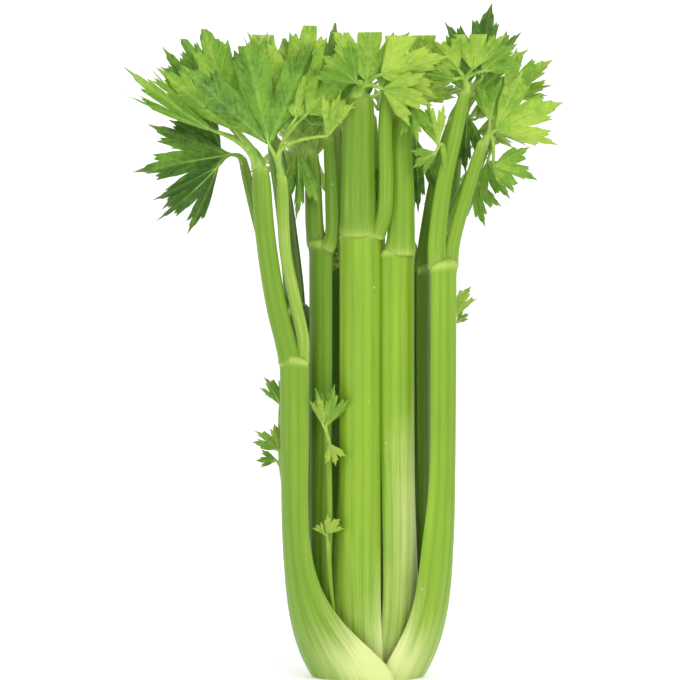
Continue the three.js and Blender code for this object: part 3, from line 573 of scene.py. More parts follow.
# The section of a stalk: ribbed outer face, round edges and a smooth hollow inside that
# follows the head's curve as far as wrap says. Each point is (x, y, share of the half arc,
# height of the rib there, 1 on the inner side).
def stalkSection(curve, reach, wall, edge, ribs, ribHeight, tuckAt, wrap, round, inner=15):
    def rim(way):
        turn = reach[0] if way < 0 else reach[1]
        points = []
        for k in (1, 2, 3):
            r = curve - ribHeight - tuckAt(way) - edge * (0.5 - 0.5 * math.cos(k * math.pi / 4))
            swell = round * math.sin(k * math.pi / 4)
            x = way * (r * math.sin(turn) + swell * math.cos(turn) * 0.6 + swell * 0.8)
            points.append((x, r * math.cos(turn) - curve - swell * 0.2, way, 0.6, 0))
        return points

    outline = []
    steps = ribs * section["perRib"]
    for i in range(steps + 1):
        u = -1 + 2 * i / steps
        angle = u * (reach[0] if u < 0 else reach[1])
        hump = abs(math.sin(ribs * math.pi * (u + 1) / 2)) ** section["ribShape"]
        fine = section["fineHeight"] * math.cos(section["fineRidges"] * ribs * math.pi * (u + 1) / 2)
        r = curve + ribHeight * (hump + fine * hump - 1) - tuckAt(u)
        outline.append((r * math.sin(angle), r * math.cos(angle) - curve, u, hump, 0))
    outline += rim(1)
    for i in range(inner):
        q = 1 - 2 * i / (inner - 1)
        turn = reach[0] if q < 0 else reach[1]
        lift = math.cos(q * math.pi / 2)
        edgeRadius = curve - ribHeight - edge - tuckAt(-1 if q < 0 else 1)
        chordX = edgeRadius * math.sin(turn) * math.sin(q * math.pi / 2)
        chordY = lerp(edgeRadius * math.cos(turn) - curve, -wall, lift)
        r = curve - ribHeight - tuckAt(q) - lerp(edge, wall - ribHeight, lift * lift)
        wrapX = r * math.sin(q * turn)
        wrapY = r * math.cos(q * turn) - curve
        outline.append((lerp(chordX, wrapX, wrap), lerp(chordY, wrapY, wrap), q, 0.5, 1))
    outline += reversed(rim(-1))
    return outline


# Closed tubes gathered into one mesh, with what its finish reads at each point.
class Skin:
    def __init__(self, seed):
        self.points, self.faces, self.grain, self.values = [], [], [], []
        self.shift = random.Random(seed).uniform(0, 5)

    # rings: lists of (point, across, along, marks); all lists have the same count
    def tube(self, rings):
        count = len(rings[0])
        first = len(self.points)
        for ring in rings:
            for place, across, length, marks in ring:
                self.points.append(place)
                self.grain.append((across * mm + self.shift, length * mm + self.shift))
                self.values.append(marks)
        for i in range(len(rings) - 1):
            for j in range(count):
                k = (j + 1) % count
                low, high = first + i * count, first + (i + 1) * count
                self.faces.append((low + j, low + k, high + k, high + j))
        self.faces.append(tuple(first + j for j in range(count)))
        self.faces.append(tuple(first + (len(rings) - 1) * count + j for j in reversed(range(count))))

    def build(self, name, finish):
        mesh = bpy.data.meshes.new(name)
        mesh.from_pydata([p * mm for p in self.points], [], self.faces)
        for index, mark in enumerate(stalkMarks):
            layer = mesh.attributes.new(mark, "FLOAT", "POINT")
            layer.data.foreach_set("value", [values[index] for values in self.values])
        layer = mesh.uv_layers.new(name="skin")
        for loop in mesh.loops:
            layer.data[loop.index].uv = self.grain[loop.vertex_index]
        mesh.shade_smooth()
        mesh.materials.append(finish)
        turnOut(mesh)
        return newObject(name, mesh)


def turnOut(mesh):
    work = bmesh.new()
    work.from_mesh(mesh)
    bmesh.ops.recalc_face_normals(work, faces=work.faces)
    work.to_mesh(mesh)
    work.free()


def adopt(piece, node):
    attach(piece, "root")
    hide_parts(node)


# The crown, in millimetres.
crown = {
    "around": 96,
    "clearance": 0.35,      # how far the stalks stay off it
    "relief": 0.12,         # of the cut face
    "reliefScale": 0.6,
    "reliefRadius": 20,
    # the outline of the part's crown as radii and heights, the radii of the rings of the cut
    # face, and the radii and heights of those of the dome
    "outline": [(21.5, 0), (22.3, 4.2), (16.8, 11.6), (8.6, 18.1), (0, head["crownHeight"])],
    "cutRadii": (2.6, 5.2, 7.8, 10.4, 13, 15.6, 18.2, 20.2, 21.3),
    "dome": [(21.5, 0.25), (21.8, 1.6), (22.3, 4.2), (21, 6.2), (19, 8.8), (16.8, 11.6), (14.4, 13.6),
             (11.6, 15.9), (8.6, 18.1), (5, 19.6), (2, 20.6)],
}


def crownRadiusAt(z):
    outline = crown["outline"]
    for (r0, z0), (r1, z1) in zip(outline, outline[1:]):
        if z <= z1:
            return lerp(r0, r1, (z - z0) / (z1 - z0))
    return 0.0


def domeHeightAt(radius):
    dome = crown["outline"][1:]
    for (r0, z0), (r1, z1) in zip(dome, dome[1:]):
        if radius >= r1:
            return lerp(z0, z1, max(0, (r0 - radius) / (r0 - r1)))
    return head["crownHeight"]


def crownPiece():
    skin = Skin(3)
    rings = []
    for radius, z in [(r, 0) for r in crown["cutRadii"]] + crown["dome"]:
        ring = []
        for j in range(crown["around"]):
            turn = 2 * math.pi * j / crown["around"]
            place = Vector((radius * math.cos(turn), radius * math.sin(turn), z))
            if z == 0 and radius < crown["reliefRadius"]:
                place.z += abs(crown["relief"] * noise.noise(place * crown["reliefScale"]))
            ring.append((place, turn * 10, radius, (0.5, 1, 0, 0, 0)))
        rings.append(ring)
    skin.tube(rings)
    return skin.build("crownCut", finishes["crown"])


adopt(crownPiece(), "crown")


# A stalk below its joint, in millimetres.
stalkForm = {
    "ribs": 0.5,            # the share of the part's rib height that shows
    "edgeSwell": 0.8,
    "ledgeHeight": 0.35,    # the swollen band under a joint
    "ledgeDepth": 2.2,
    "shoulderDrop": 1.7,    # how far the joint falls away at the sides of the stalk
    "fineStep": 1.5,        # between rings below fineBelow, and coarseStep above it
    "fineBelow": 12,
    "coarseStep": 3,
    "jointSpan": 6,         # the joint has its own rings, from here below it
    "jointStep": 0.75,
    "closing": 0.35,        # how far the hollow fills up below the joint
    "closingSpan": 7,
    "bulgeSpan": 2.5,
    # rise and width of the rings of a rounded end, of a stalk and of a limb
    "stalkEnd": [(0.5, 0.975), (1.1, 0.93), (1.7, 0.86), (2.2, 0.76), (2.6, 0.62), (2.8, 0.45)],
    "limbEnd": [(0.7, 0.93), (1.3, 0.82), (1.8, 0.66), (2.1, 0.48)],
}

# Where a stalk is pale, as strengths and heights: a rim at the cut, the foot with its ridges,
# the edges of the sheath, painted light on the side edges low down where the crevices between stalks would
# show shade, and the inner face.
paleForm = {"rim": 0.08, "rimHeight": 16, "foot": 0.17, "ridges": 0.1, "footHeight": 60, "sheath": 0.6,
            "paintedCreviceLight": 0.3, "paintedCreviceLightHeight": 60, "inside": 0.3, "insideHeight": 150}

# How much painted shade darkens each stalk towards deep green, from 0 to 1: most on the stalks at the back
# and those behind others, partly also a stalk's own tone.
paintedShadeDepths = {"stalk_outer_front_left": 0.35, "stalk_middle_left": 0.62,
          "stalk_middle_right": 0.8, "stalk_outer_back_left": 0.9, "stalk_outer_back": 0.8,
          "stalk_outer_back_right": 0.7, "stalk_middle_back_right": 0.85, "stalk_middle_back_left": 0.9}


def petioleRings(stalk):
    ring, width, joint = stalk["ring"], stalk["width"], stalk["joint"]
    ownCurve = width / 2 / math.sin(head["stalkReach"])
    outward = outwardAt(stalk["azimuth"])
    side = Vector((-outward.y, outward.x, 0))
    levels = list(ring["start"])
    while levels[-1] < joint - stalkForm["jointSpan"] - stalkForm["coarseStep"]:
        step = "fineStep" if levels[-1] < stalkForm["fineBelow"] else "coarseStep"
        levels.append(levels[-1] + stalkForm[step])
    levels += [joint - stalkForm["jointSpan"] + stalkForm["jointStep"] * k for k in range(9)]
    domes = stalkForm["stalkEnd"]
    rings = []
    for index in range(len(levels) + len(domes)):
        rise, shrink = (0, 1) if index < len(levels) else domes[index - len(levels)]
        z = levels[min(index, len(levels) - 1)]
        shrink *= 1 - 0.04 * smooth((z - joint + 4) / 4)
        sheath = math.exp(-(z / head["sheathFade"]) ** 1.35)
        curl = math.exp(-(z / head["curlFade"]) ** 1.5)
        radius = ring["full"] - (ring["full"] - ring["foot"]) * math.exp(-z / ring["rise"])
        swell = math.exp(-((z - head["swellHeight"]) / head["swellReach"]) ** 2)
        grown = [extra * swell for extra in stalk.get("swell", (0, 0))]
        curve = lerp(ownCurve + 0.45 * sum(grown), radius, curl)
        ownReach = [math.asin(min(0.97, (width / 2 + extra) / curve)) for extra in grown]
        bulge = math.exp(-((joint - 2 - z) / stalkForm["bulgeSpan"]) ** 2)
        closing = max(0, 1 - (joint - z) / stalkForm["closingSpan"])

        def tuckAt(u):
            end, start = stalk["sheath"][int(u >= 0)], stalk["under"][int(u >= 0)]
            if not start:
                return 0
            past = abs(u) * end - start
            return sheath * (ring["tuck"] * smooth(past / head["tuckRamp"] + 1)
                             + head["tuckSlope"] * max(0, past))

        ribShare = stalkForm["ribs"] * stalk.get("ridges", 1)
        ribHeight = ring["ribHeight"] * min(1, 0.35 + z / 60) * (1 - 0.6 * bulge) * ribShare
        wall = ring["wall"] * lerp(1.3, 1, sheath) + stalk.get("thick", 0)
        outline = stalkSection(
            curve + 0.5 * bulge,
            [lerp(own, math.radians(angle), sheath) for own, angle in zip(ownReach, stalk["sheath"])],
            wall + curve * stalkForm["closing"] * closing,
            lerp(ring["edge"] * 1.3, ring["edge"], sheath) + 2 * closing,
            ring["ribs"], ribHeight, tuckAt, curl, stalkForm["edgeSwell"] * (1 - sheath))
        origin = outward * (radius + 0.4 * bulge)
        origin.z = z
        middle = Vector((0, -ring["wall"] * 0.8, 0))
        row = []
        for x, y, u, hump, within in outline:
            x, y = lerp(middle.x, x, shrink), lerp(middle.y, y, shrink)
            ledge = math.exp(-((z + rise - joint + 0.2) / stalkForm["ledgeDepth"]) ** 2) * (1 - within)
            drop = stalkForm["shoulderDrop"] * abs(u) ** 2.5 * smooth((z - joint + 7) / 7)
            relief = 0.16 * noise.noise(Vector((x / 5 + stalk["azimuth"], y / 5, z / 45)))
            grow = 0 if within else relief * min(1, z / 8) + stalkForm["ledgeHeight"] * ledge
            place = origin + side * x + outward * (y + grow)
            place.z += rise - drop
            flat = Vector((place.x, place.y, 0)).length
            if ring is outerRing:
                least = crownRadiusAt(place.z) + crown["clearance"]
                if flat < least and place.z < head["crownHeight"]:
                    place.x, place.y = place.x * least / flat, place.y * least / flat
            else:
                place.z = max(place.z, domeHeightAt(flat) + crown["clearance"])
            strength, height, spread, share, favour = stalk.get("wash", (0, 1, 1, 1, 0))
            band = strength * math.exp(-((z - height) / spread) ** 2) * smooth(share + u * favour)
            foot = (paleForm["rim"] * math.exp(-(z / paleForm["rimHeight"]) ** 1.2)
                    + (paleForm["foot"] + paleForm["ridges"] * hump) * math.exp(-z / paleForm["footHeight"]))
            edgePale = paleForm["sheath"] * sheath ** 3 * abs(u) ** 1.5 * (0.45 + 0.55 * smooth(z / 9))
            # painted light: the side edges low on a stalk are paled to lighten the shaded crevice between
            # stalks
            paintedCreviceLight = paleForm["paintedCreviceLight"] * abs(u) ** 6 * math.exp(-(z / paleForm["paintedCreviceLightHeight"]) ** 2)
            inside = paleForm["inside"] * within * (1 - 0.5 * min(1, z / paleForm["insideHeight"]))
            pale = foot + edgePale + paintedCreviceLight + inside
            across = u * (width * 0.62 + 10 * sheath) + (60 if within else 0)
            cut = 1.0 if z < 0.2 and ring is outerRing else 0.0
            row.append((place, across, z, (hump * (1 - 0.5 * bulge), min(1, pale + band), ledge, cut,
                                           paintedShadeDepths.get(stalk["name"], 0))))
        rings.append(row)
    return rings


# A limb. Wall, edge, rib, round and back are shares of half its width.
limbForm = {
    "step": 2.5,            # between rings
    "wideFrom": 5,          # a limb wider than this has five ribs, others three
    "wall": 1.25,
    "edge": 0.3,
    "rib": 0.05,
    "round": 0.06,
    "back": 0.6,            # how far its outer face stands off its path
    "relief": 0.1,
    "heel": 0.1,            # how much wider it is just above its joint
    "tip": 0.86,            # how narrow it gets at its leaf
    "tipSpan": 10,
    "pale": 0.12,
    "paleInside": 0.25,
    "jointMark": 0.95,
}


def limbRings(limb, azimuth, cutEnd, startsInJoint=True, depth=0.0):
    knots = [Vector(p) for p in limb["path"]]
    length = sum((b - a).length for a, b in zip(knots, knots[1:]))
    steps = max(10, round(length / limbForm["step"]))
    ribs = 5 if limb["width"][0] > limbForm["wideFrom"] else 3
    rings = []
    outwards = outwardAt(azimuth)
    domes = [] if cutEnd else stalkForm["limbEnd"]
    for i in range(steps + 1 + len(domes)):
        t = min(1, i / steps)
        place, direction = curveAt(knots, t)
        rise, shrink = domes[i - steps - 1] if i > steps else (0, 1)
        place = place + direction * rise
        side = Vector((0, 0, 1)).cross(outwards)
        side = (side - direction * side.dot(direction)).normalized()
        outward = direction.cross(side).normalized()
        if outward.dot(outwards) < 0:
            outward.negate()
        half = lerp(limb["width"][0], limb["width"][1], t) / 2
        foot, gap = 1, t * length
        if startsInJoint:
            foot = lerp(0.9, 1, smooth(gap / 4)) + limbForm["heel"] * math.exp(-((gap - 6) / 3.6) ** 2)
        tip = 1
        if not cutEnd:
            tip = lerp(limbForm["tip"], 1, smooth((1 - t) * length / limbForm["tipSpan"])) * shrink
        back = half * limbForm["back"]
        wall, edge, rib, rounding = (half * limbForm[part] for part in ("wall", "edge", "rib", "round"))
        outline = stalkSection(half, [head["limbReach"]] * 2, wall, edge, ribs, rib, lambda u: 0, 0,
                               rounding, inner=11)
        origin = place + outward * back
        row = []
        for x, y, u, hump, within in outline:
            x, y = x * foot * tip, (y + back) * foot * tip - back
            bump = noise.noise(Vector((x / 4 + limb["width"][0], y / 4, t * length / 30)))
            grow = 0 if within else limbForm["relief"] * bump
            spot = origin + side * x + outward * (y + grow)
            jointMark = limbForm["jointMark"] * math.exp(-abs(gap - 3) / 2.6) if startsInJoint else 0
            if not cutEnd:
                jointMark = max(jointMark, 0.5 * math.exp(-(1 - t) * length / 3))
            cut = 1.0 if cutEnd and i == steps else 0.0
            pale = limb.get("pale", limbForm["pale"]) + limbForm["paleInside"] * within
            if cutEnd:
                pale += 0.5 * math.exp(-(1 - t) * length / 2)
            across = u * half * 1.7 + (40 if within else 0)
            row.append((spot, across, t * length, (hump, pale, min(1, jointMark), cut, depth)))
        rings.append(row)
    return rings


# The limbs and leaves of a stalk that follow the rule: a middle limb and one on each side.
def spreadingLimbs(stalk, sides, length, flare, size, leaflets=3):
    joint, width = stalk["joint"], stalk["width"]
    outward = outwardAt(stalk["azimuth"])
    across = Vector((-outward.y, outward.x, 0))
    centre = stalk["ring"]["full"] - stalk["ring"]["wall"] * 0.8

    def at(out, side, z):
        place = outward * (centre + out) + across * side
        return [place.x, place.y, z]

    limbs = []
    for s in sides:
        shift = s * width * 0.36
        top = joint + length * (0.58 if s else 1)
        reach = s * (width * 0.6 + flare * 1.3)
        near = s * (width * 0.6 + flare)
        tips = [
            at(flare * 1.9 + size * 0.25, reach, min(top + size * 0.92, head["trimHeight"] + 6)),
            at(flare * 1.6 + size * 0.5, near + (s or 1) * size * 0.55, top + size * 0.3),
            at(flare * 1.6 + size * 0.34, near - size * 0.55, top + size * 0.5),
            at(flare * 1.2 + size * 0.62, -size * 0.4, top - size * 0.06),
        ][:2 if s else leaflets]
        limbs.append({
            "name": {-1: "left", 0: "middle", 1: "right"}[s],
            "width": [width * 0.38, width * 0.32] if s else [width * 0.66, width * 0.46],
            "path": [
                at(0, shift, joint - 3),
                at(0, shift * 1.25, joint + length * 0.12),
                at(flare * 0.35, shift + s * flare * 0.25, joint + length * 0.45),
                at(flare * (0.9 if s else 0.7), s * (width * 0.5 + flare * 0.55), top),
            ],
            "leaf": {"leaflets": [leaflet(None, tip) for tip in tips], "seed": s + stalk["azimuth"]},
        })
    return limbs


for number, stalk in enumerate(stalks):
    if "spread" in stalk:
        stalk["limbs"] = spreadingLimbs(stalk, **stalk["spread"])
    skin = Skin(number + 10)
    skin.tube(petioleRings(stalk))
    for limb in stalk["limbs"]:
        # painted shade: limbs are painted deeper green than their stalks, more on stalks that stand back
        depth = limb.get("deep", 0.32 + 0.6 * paintedShadeDepths.get(stalk["name"], 0))
        skin.tube(limbRings(limb, stalk["azimuth"], "leaf" not in limb, depth=depth))
    slotName = "heart_stalk" if stalk["ring"] is heartRing else "stalk"
    adopt(skin.build(stalk["name"] + "Skin", finishes[slotName]), stalk["name"])

for number, shoot in enumerate(shoots):
    skin = Skin(number + 40)
    # painted shade: the shoots are painted 0.3 deeper green, as they grow in among the stalks
    skin.tube(limbRings(shoot, shoot["azimuth"], False, False, 0.3))
    adopt(skin.build(shoot["name"] + "Skin", finishes["stalk"]), shoot["name"])
print("stalks made")


# A leaflet's blade. A node tree works out its form from a grid, over the angle from the middle
# vein and the share of the way to the edge. Depths and waves are shares of its length.
blade = {
    "reach": 0.985,         # the share of the part's leaflet length that the fine one takes
    "halfThickness": 0.28,
    "rows": 15,
    "stepsPerTooth": 6,
    "teeth": 9,
    "lobeShape": 1.6,       # higher for lobes with a broader end
    "toothDepth": 0.19,
    "smallTooth": 0.05,
    "lobeFold": 0.22,       # how far each lobe folds up along its own vein
    "puff": 0.02,           # how far the skin swells between veins
    "ruffle": 0.028,
    "wave": 0.05,
    "arch": 0.5,            # how far a leaflet bends along its length, in radians
    "mergeWithin": 0.002,
}


def newTree(name, entries):
    tree = bpy.data.node_groups.new(name, "GeometryNodeTree")
    for entry, kind in entries.items():
        tree.interface.new_socket(entry, in_out="INPUT", socket_type="NodeSocket" + kind)
    tree.interface.new_socket("Result", in_out="OUTPUT", socket_type="NodeSocketGeometry")
    bench = Bench(tree)
    entrance = bench.make("NodeGroupInput").socket.node
    given = {socket.name: Wire(bench, socket) for socket in entrance.outputs if socket.name}
    return tree, bench, given


def finishTree(bench, geometry):
    whole = bench.make("GeometryNodeRealizeInstances", {}, {"Geometry": geometry})
    bench.make("NodeGroupOutput", {}, {"Result": whole})


def bladeTree():
    tree, bench, given = newTree("leafletBlade", {
        "Columns": "Int", "Rows": "Int", "Teeth": "Float", "Length": "Float", "Spread": "Float",
        "Fold": "Float", "Depth": "Float", "Phase": "Float", "Neck": "Float", "ToneAndLight": "Float",
        "Base": "Vector", "Forward": "Vector", "Side": "Vector", "Under": "Vector",
        "Underside": "Material", "Top side": "Material"})
    length, spread, arch = given["Length"], given["Spread"], blade["arch"]
    sheet = bench.make("GeometryNodeMeshGrid", {}, {
        "Size X": 2.0, "Size Y": 1.0, "Vertices X": given["Columns"], "Vertices Y": given["Rows"]})
    a, low, _ = bench.parts(bench.make("GeometryNodeInputPosition"))
    s = low + 0.5
    sine, cosine, size = bench.sine, bench.cosine, bench.size
    offLobe = size(a * 1.5 - bench.maths("ROUND", a * 1.5)) * 2
    notch = size(bench.maths("FRACT", (a + 1) * given["Teeth"] * 0.5) * 2 - 1) ** 0.85
    small = size(bench.maths("FRACT", (a + 1) * given["Teeth"] * 1.5) * 2 - 1)
    edge = (1 - (offLobe ** blade["lobeShape"]) * given["Depth"]) * (1 - a * a * 0.3)
    edge = edge * (1 - (notch * blade["toothDepth"] + small * blade["smallTooth"]) * s)
    r = s * edge * length
    angle = a * spread
    x = r * sine(angle) + given["Neck"] * 0.5 * a * (1 - s) * (1 - s)
    y = r * cosine(angle)
    lobe = (a - bench.maths("ROUND", a * 1.5) / 1.5) * spread
    inX, inY = size(r * sine(lobe)) / length, r * cosine(lobe) / length
    rung = bench.maths("FRACT", (inY - inX * leafPaint["lateralSlope"]) / leafPaint["lateralSpacing"])
    swell = sine(rung * math.pi) * s * (1 - s) * 4 * bench.ease(inX, 0, 0.05) * length * blade["puff"]
    bend = arch * (y / length - 0.5)
    ahead = (length / arch) * (sine(bend) + math.sin(arch / 2))
    down = (length / arch) * (math.cos(arch / 2) - cosine(bend))
    ripple = s * s * length * (sine(a * 4.5 + given["Phase"]) * blade["wave"]
                               + sine(a * 13 + given["Phase"] * 2) * s * blade["ruffle"])
    rise = down - size(x) * given["Fold"] + ripple - swell - inX * length * blade["lobeFold"]
    place = bench.sum(given["Base"], bench.scaled(given["Side"], x), bench.scaled(given["Forward"], ahead),
                      bench.scaled(given["Under"], rise))
    normal = bench.sum(bench.scaled(given["Under"], cosine(bend)),
                       bench.scaled(given["Forward"], 0 - sine(bend)))
    inner = bench.maths("MINIMUM", bench.maths("MINIMUM", (1 - s) * 8, (1 - size(a)) * 8), s * 12)
    half = bench.maths("MINIMUM", inner, 1) * (blade["halfThickness"] * mm)
    # the leaflet's tone and painted light and shade, varied a little across it
    toneAndLight = given["ToneAndLight"] + sine(a * 4 + given["Phase"]) * 0.06
    sheet = bench.make("GeometryNodeStoreNamedAttribute", {"data_type": "FLOAT", "domain": "POINT"},
                       {"Geometry": sheet, "Name": "toneAndLight", "Value": toneAndLight})
    sheet = bench.make("GeometryNodeStoreNamedAttribute", {"data_type": "FLOAT2", "domain": "CORNER"},
                       {"Geometry": sheet, "Name": "blade", "Value": bench.vector(inX, inY)})
    sides = []
    for finish, way in (("Underside", 1), ("Top side", -1)):
        sheetSide = bench.make("GeometryNodeSetPosition", {}, {
            "Geometry": sheet, "Position": bench.sum(place, bench.scaled(normal, half * way))})
        if way < 0:
            sheetSide = bench.make("GeometryNodeFlipFaces", {}, {"Mesh": sheetSide})
        sides.append(bench.make("GeometryNodeSetMaterial", {},
                                {"Geometry": sheetSide, "Material": given[finish]}))
    join = bench.make("GeometryNodeJoinGeometry")
    for sheetSide in reversed(sides):
        tree.links.new(sheetSide.socket, join.socket.node.inputs[0])
    whole = bench.make("GeometryNodeMergeByDistance", {},
                       {"Geometry": join, "Distance": blade["mergeWithin"] * mm})
    finishTree(bench, bench.make("GeometryNodeSetShadeSmooth", {}, {"Geometry": whole}))
    return tree


def stemTree():
    tree, bench, given = newTree("leafStems", {"Geometry": "Geometry", "Around": "Int", "Skin": "Material"})
    circle = bench.make("GeometryNodeCurvePrimitiveCircle", {},
                        {"Resolution": given["Around"], "Radius": 1.0})
    tube = bench.make("GeometryNodeCurveToMesh", {}, {
        "Curve": given["Geometry"], "Profile Curve": circle, "Scale": bench.make("GeometryNodeInputRadius"),
        "Fill Caps": True})
    smoothed = bench.make("GeometryNodeSetShadeSmooth", {}, {"Geometry": tube})
    coated = bench.make("GeometryNodeSetMaterial", {}, {"Geometry": smoothed, "Material": given["Skin"]})
    finishTree(bench, coated)
    return tree


# A carrier object whose node modifier is given its inputs and then read back as a plain mesh.
class Shaper:
    def __init__(self, name, data, tree):
        self.carrier = newObject(name, data)
        self.modifier = self.carrier.modifiers.new("shape", "NODES")
        self.modifier.node_group = tree
        self.keys = {item.name: item.identifier for item in tree.interface.items_tree
                     if item.in_out == "INPUT"}

    def mesh(self, values):
        for name, value in values.items():
            self.modifier[self.keys[name]] = value
        self.carrier.update_tag()
        bpy.context.view_layer.update()
        graph = bpy.context.evaluated_depsgraph_get()
        return bpy.data.meshes.new_from_object(self.carrier.evaluated_get(graph))

    def remove(self):
        self.carrier.modifiers.remove(self.modifier)
        bpy.data.objects.remove(self.carrier)


def bezier(start, bend, end, t):
    return start * (1 - t) ** 2 + bend * 2 * t * (1 - t) + end * t * t


def bezierSlope(start, bend, end, t):
    return ((bend - start) * (1 - t) + (end - bend) * t).normalized()


# A point of a blade at a share of the way to its edge, to place the veins under it.
def bladePoint(leaf, share, a, offset=0.0):
    length, spread, arch = leaf["length"], leaf["spread"], blade["arch"]
    lobes = 1 - leaf["depth"] * (2 * abs(1.5 * a - round(1.5 * a))) ** blade["lobeShape"]
    r = share * lobes * (1 - 0.3 * a * a) * length
    x, y = r * math.sin(a * spread), r * math.cos(a * spread)
    bend = arch * (y / length - 0.5)
    ahead = (length / arch) * (math.sin(bend) + math.sin(arch / 2))
    down = (length / arch) * (math.cos(arch / 2) - math.cos(bend))
    ripple = share * share * length * (math.sin(4.5 * a + leaf["phase"]) * blade["wave"]
                                       + math.sin(13 * a + leaf["phase"] * 2) * share * blade["ruffle"])
    lobe = (a - round(1.5 * a) / 1.5) * spread
    rise = down - leaf["fold"] * abs(x) + ripple - abs(r * math.sin(lobe)) * blade["lobeFold"]
    normal = leaf["under"] * math.cos(bend) - leaf["forward"] * math.sin(bend)
    return leaf["base"] + leaf["side"] * x + leaf["forward"] * ahead + leaf["under"] * rise + normal * offset


leafStem = {
    "fork": 7,              # from the end of the limb to where its leaf forks
    "width": 0.62,          # as a share of the limb's at its end
    "branch": 0.8,          # the width of a side stem as a share of the main one there
    "stemSteps": 12,
    "veinSteps": 14,
    "rounding": 0.52,       # from a width to the radius of its tube
    "middleVein": (0.4, 0.08),   # radii at its two ends
    "sideVein": (0.26, 0.07),
    "sides": 10,
    "off": 0.02,            # how far the veins stand off the middle of the blade
    "tilt": (-0.3, -0.9),   # of the blades' upper side, where facing is given and where it isn't
}


# The leaflets of a leaf, each with its frame and the lines of its stem and main veins.
def leafPlan(leaf, limb, azimuth, tonesAndLight):
    knots = [Vector(p) for p in limb["path"]]
    end, direction = curveAt(knots, 1)
    start = end + direction * 0.35
    width = limb["width"][1] * leafStem["width"]
    tilt = leafStem["tilt"][0 if "facing" in leaf else 1]
    facing = outwardAt(leaf.get("facing", azimuth)) + Vector((0, 0, tilt))
    facing.normalize()
    forkLength = leaf.get("fork", leafStem["fork"])
    fork = end + direction * forkLength
    main = None
    plans = []
    for index, entry in enumerate(leaf["leaflets"]):
        tip = Vector(entry["tip"])
        base = Vector(entry["base"]) if entry["base"] else fork.lerp(tip, 0.26)
        t, origin, leaving = 0, start, direction
        if main:
            length = sum((bezier(*main, (k + 1) / 60) - bezier(*main, k / 60)).length for k in range(60))
            t = min(0.75, (forkLength + 1.5 * index - 1) / length)
            origin, leaving = bezier(*main, t), bezierSlope(*main, t)
        stem = (origin, origin + leaving * (origin - base).length * 0.4, base)
        forward = (tip - base).normalized()
        face = facing.copy()
        face.rotate(Quaternion(forward, math.radians(entry["roll"])))
        under = (face - forward * face.dot(forward)).normalized()
        plan = {
            "base": base, "forward": forward, "under": under, "side": forward.cross(under),
            "length": (tip - base).length * blade["reach"], "spread": math.radians(entry["spread"]),
            "fold": entry["fold"], "depth": entry["depth"], "trim": entry["trim"],
            "phase": index * 1.7 + leaf.get("seed", 0), "toneAndLight": tonesAndLight[index],
        }
        wide = lerp(width, head["leafletNeck"], t) * leafStem["branch"] if main else width
        steps, veinSteps, off = leafStem["stemSteps"], leafStem["veinSteps"], leafStem["off"]
        shares = [k / steps for k in range(steps + 1)]
        lines = [[(bezier(*stem, k), lerp(wide, head["leafletNeck"], k) * leafStem["rounding"])
                  for k in shares]]
        lines[0] += [(bladePoint(plan, k / veinSteps, 0, off), lerp(*leafStem["middleVein"], k / veinSteps))
                     for k in range(1, veinSteps)]
        for a in (-2 / 3, 2 / 3):
            lines.append([(bladePoint(plan, 0.03 + 0.85 * k, a, off), lerp(*leafStem["sideVein"], k))
                          for k in shares])
        plan["lines"] = lines
        plans.append(plan)
        main = main or stem
    return plans


def trimTop(work, height):
    geometry = work.verts[:] + work.edges[:] + work.faces[:]
    result = bmesh.ops.bisect_plane(work, geom=geometry, plane_co=(0, 0, height * mm), plane_no=(0, 0, 1),
                                    clear_outer=True)
    rim = [item for item in result["geom_cut"] if isinstance(item, bmesh.types.BMEdge)]
    if rim:
        bmesh.ops.holes_fill(work, edges=rim, sides=0)


bladeShaper = Shaper("bladeCarrier", bpy.data.meshes.new("bladeCarrier"), bladeTree())
stemGroup = stemTree()


def bladeMesh(plan):
    columns = 2 * blade["teeth"] * blade["stepsPerTooth"] + 1
    return bladeShaper.mesh({
        "Columns": columns, "Rows": blade["rows"], "Teeth": float(blade["teeth"]),
        "Length": plan["length"] * mm, "Spread": plan["spread"], "Fold": plan["fold"],
        "Depth": plan["depth"], "Phase": plan["phase"], "ToneAndLight": plan["toneAndLight"],
        "Neck": head["leafletNeck"] * mm,
        "Base": plan["base"] * mm, "Forward": plan["forward"], "Side": plan["side"], "Under": plan["under"],
        "Underside": finishes["leafUnder"], "Top side": finishes["leafTop"]})


def stemMesh(plans):
    curve = bpy.data.curves.new("leafStems", "CURVE")
    curve.dimensions = "3D"
    for plan in plans:
        for line in plan["lines"]:
            kept = [(p, radius) for p, radius in line if p.z < plan["trim"] - radius - 0.1]
            if len(kept) < 3:
                continue
            spline = curve.splines.new("POLY")
            spline.points.add(len(kept) - 1)
            for knot, (p, radius) in zip(spline.points, kept):
                knot.co = (p.x * mm, p.y * mm, p.z * mm, 1)
                knot.radius = radius * mm
    shaper = Shaper("stemCarrier", curve, stemGroup)
    mesh = shaper.mesh({"Around": leafStem["sides"], "Skin": finishes["stem"]})
    shaper.remove()
    return mesh


def leafPiece(name, plans):
    work = bmesh.new()
    for plan in plans:
        mesh = bladeMesh(plan)
        single = bmesh.new()
        single.from_mesh(mesh)
        trimTop(single, plan["trim"])
        single.to_mesh(mesh)
        single.free()
        work.from_mesh(mesh)
    first = len(work.faces)
    work.from_mesh(stemMesh(plans))
    work.faces.ensure_lookup_table()
    for face in work.faces[first:]:
        face.material_index = 2
    bmesh.ops.recalc_face_normals(work, faces=work.faces)
    mesh = bpy.data.meshes.new(name)
    work.to_mesh(mesh)
    work.free()
    for finish in ("leafUnder", "leafTop", "stem"):
        mesh.materials.append(finishes[finish])
    mesh.shade_smooth()
    return newObject(name, mesh)
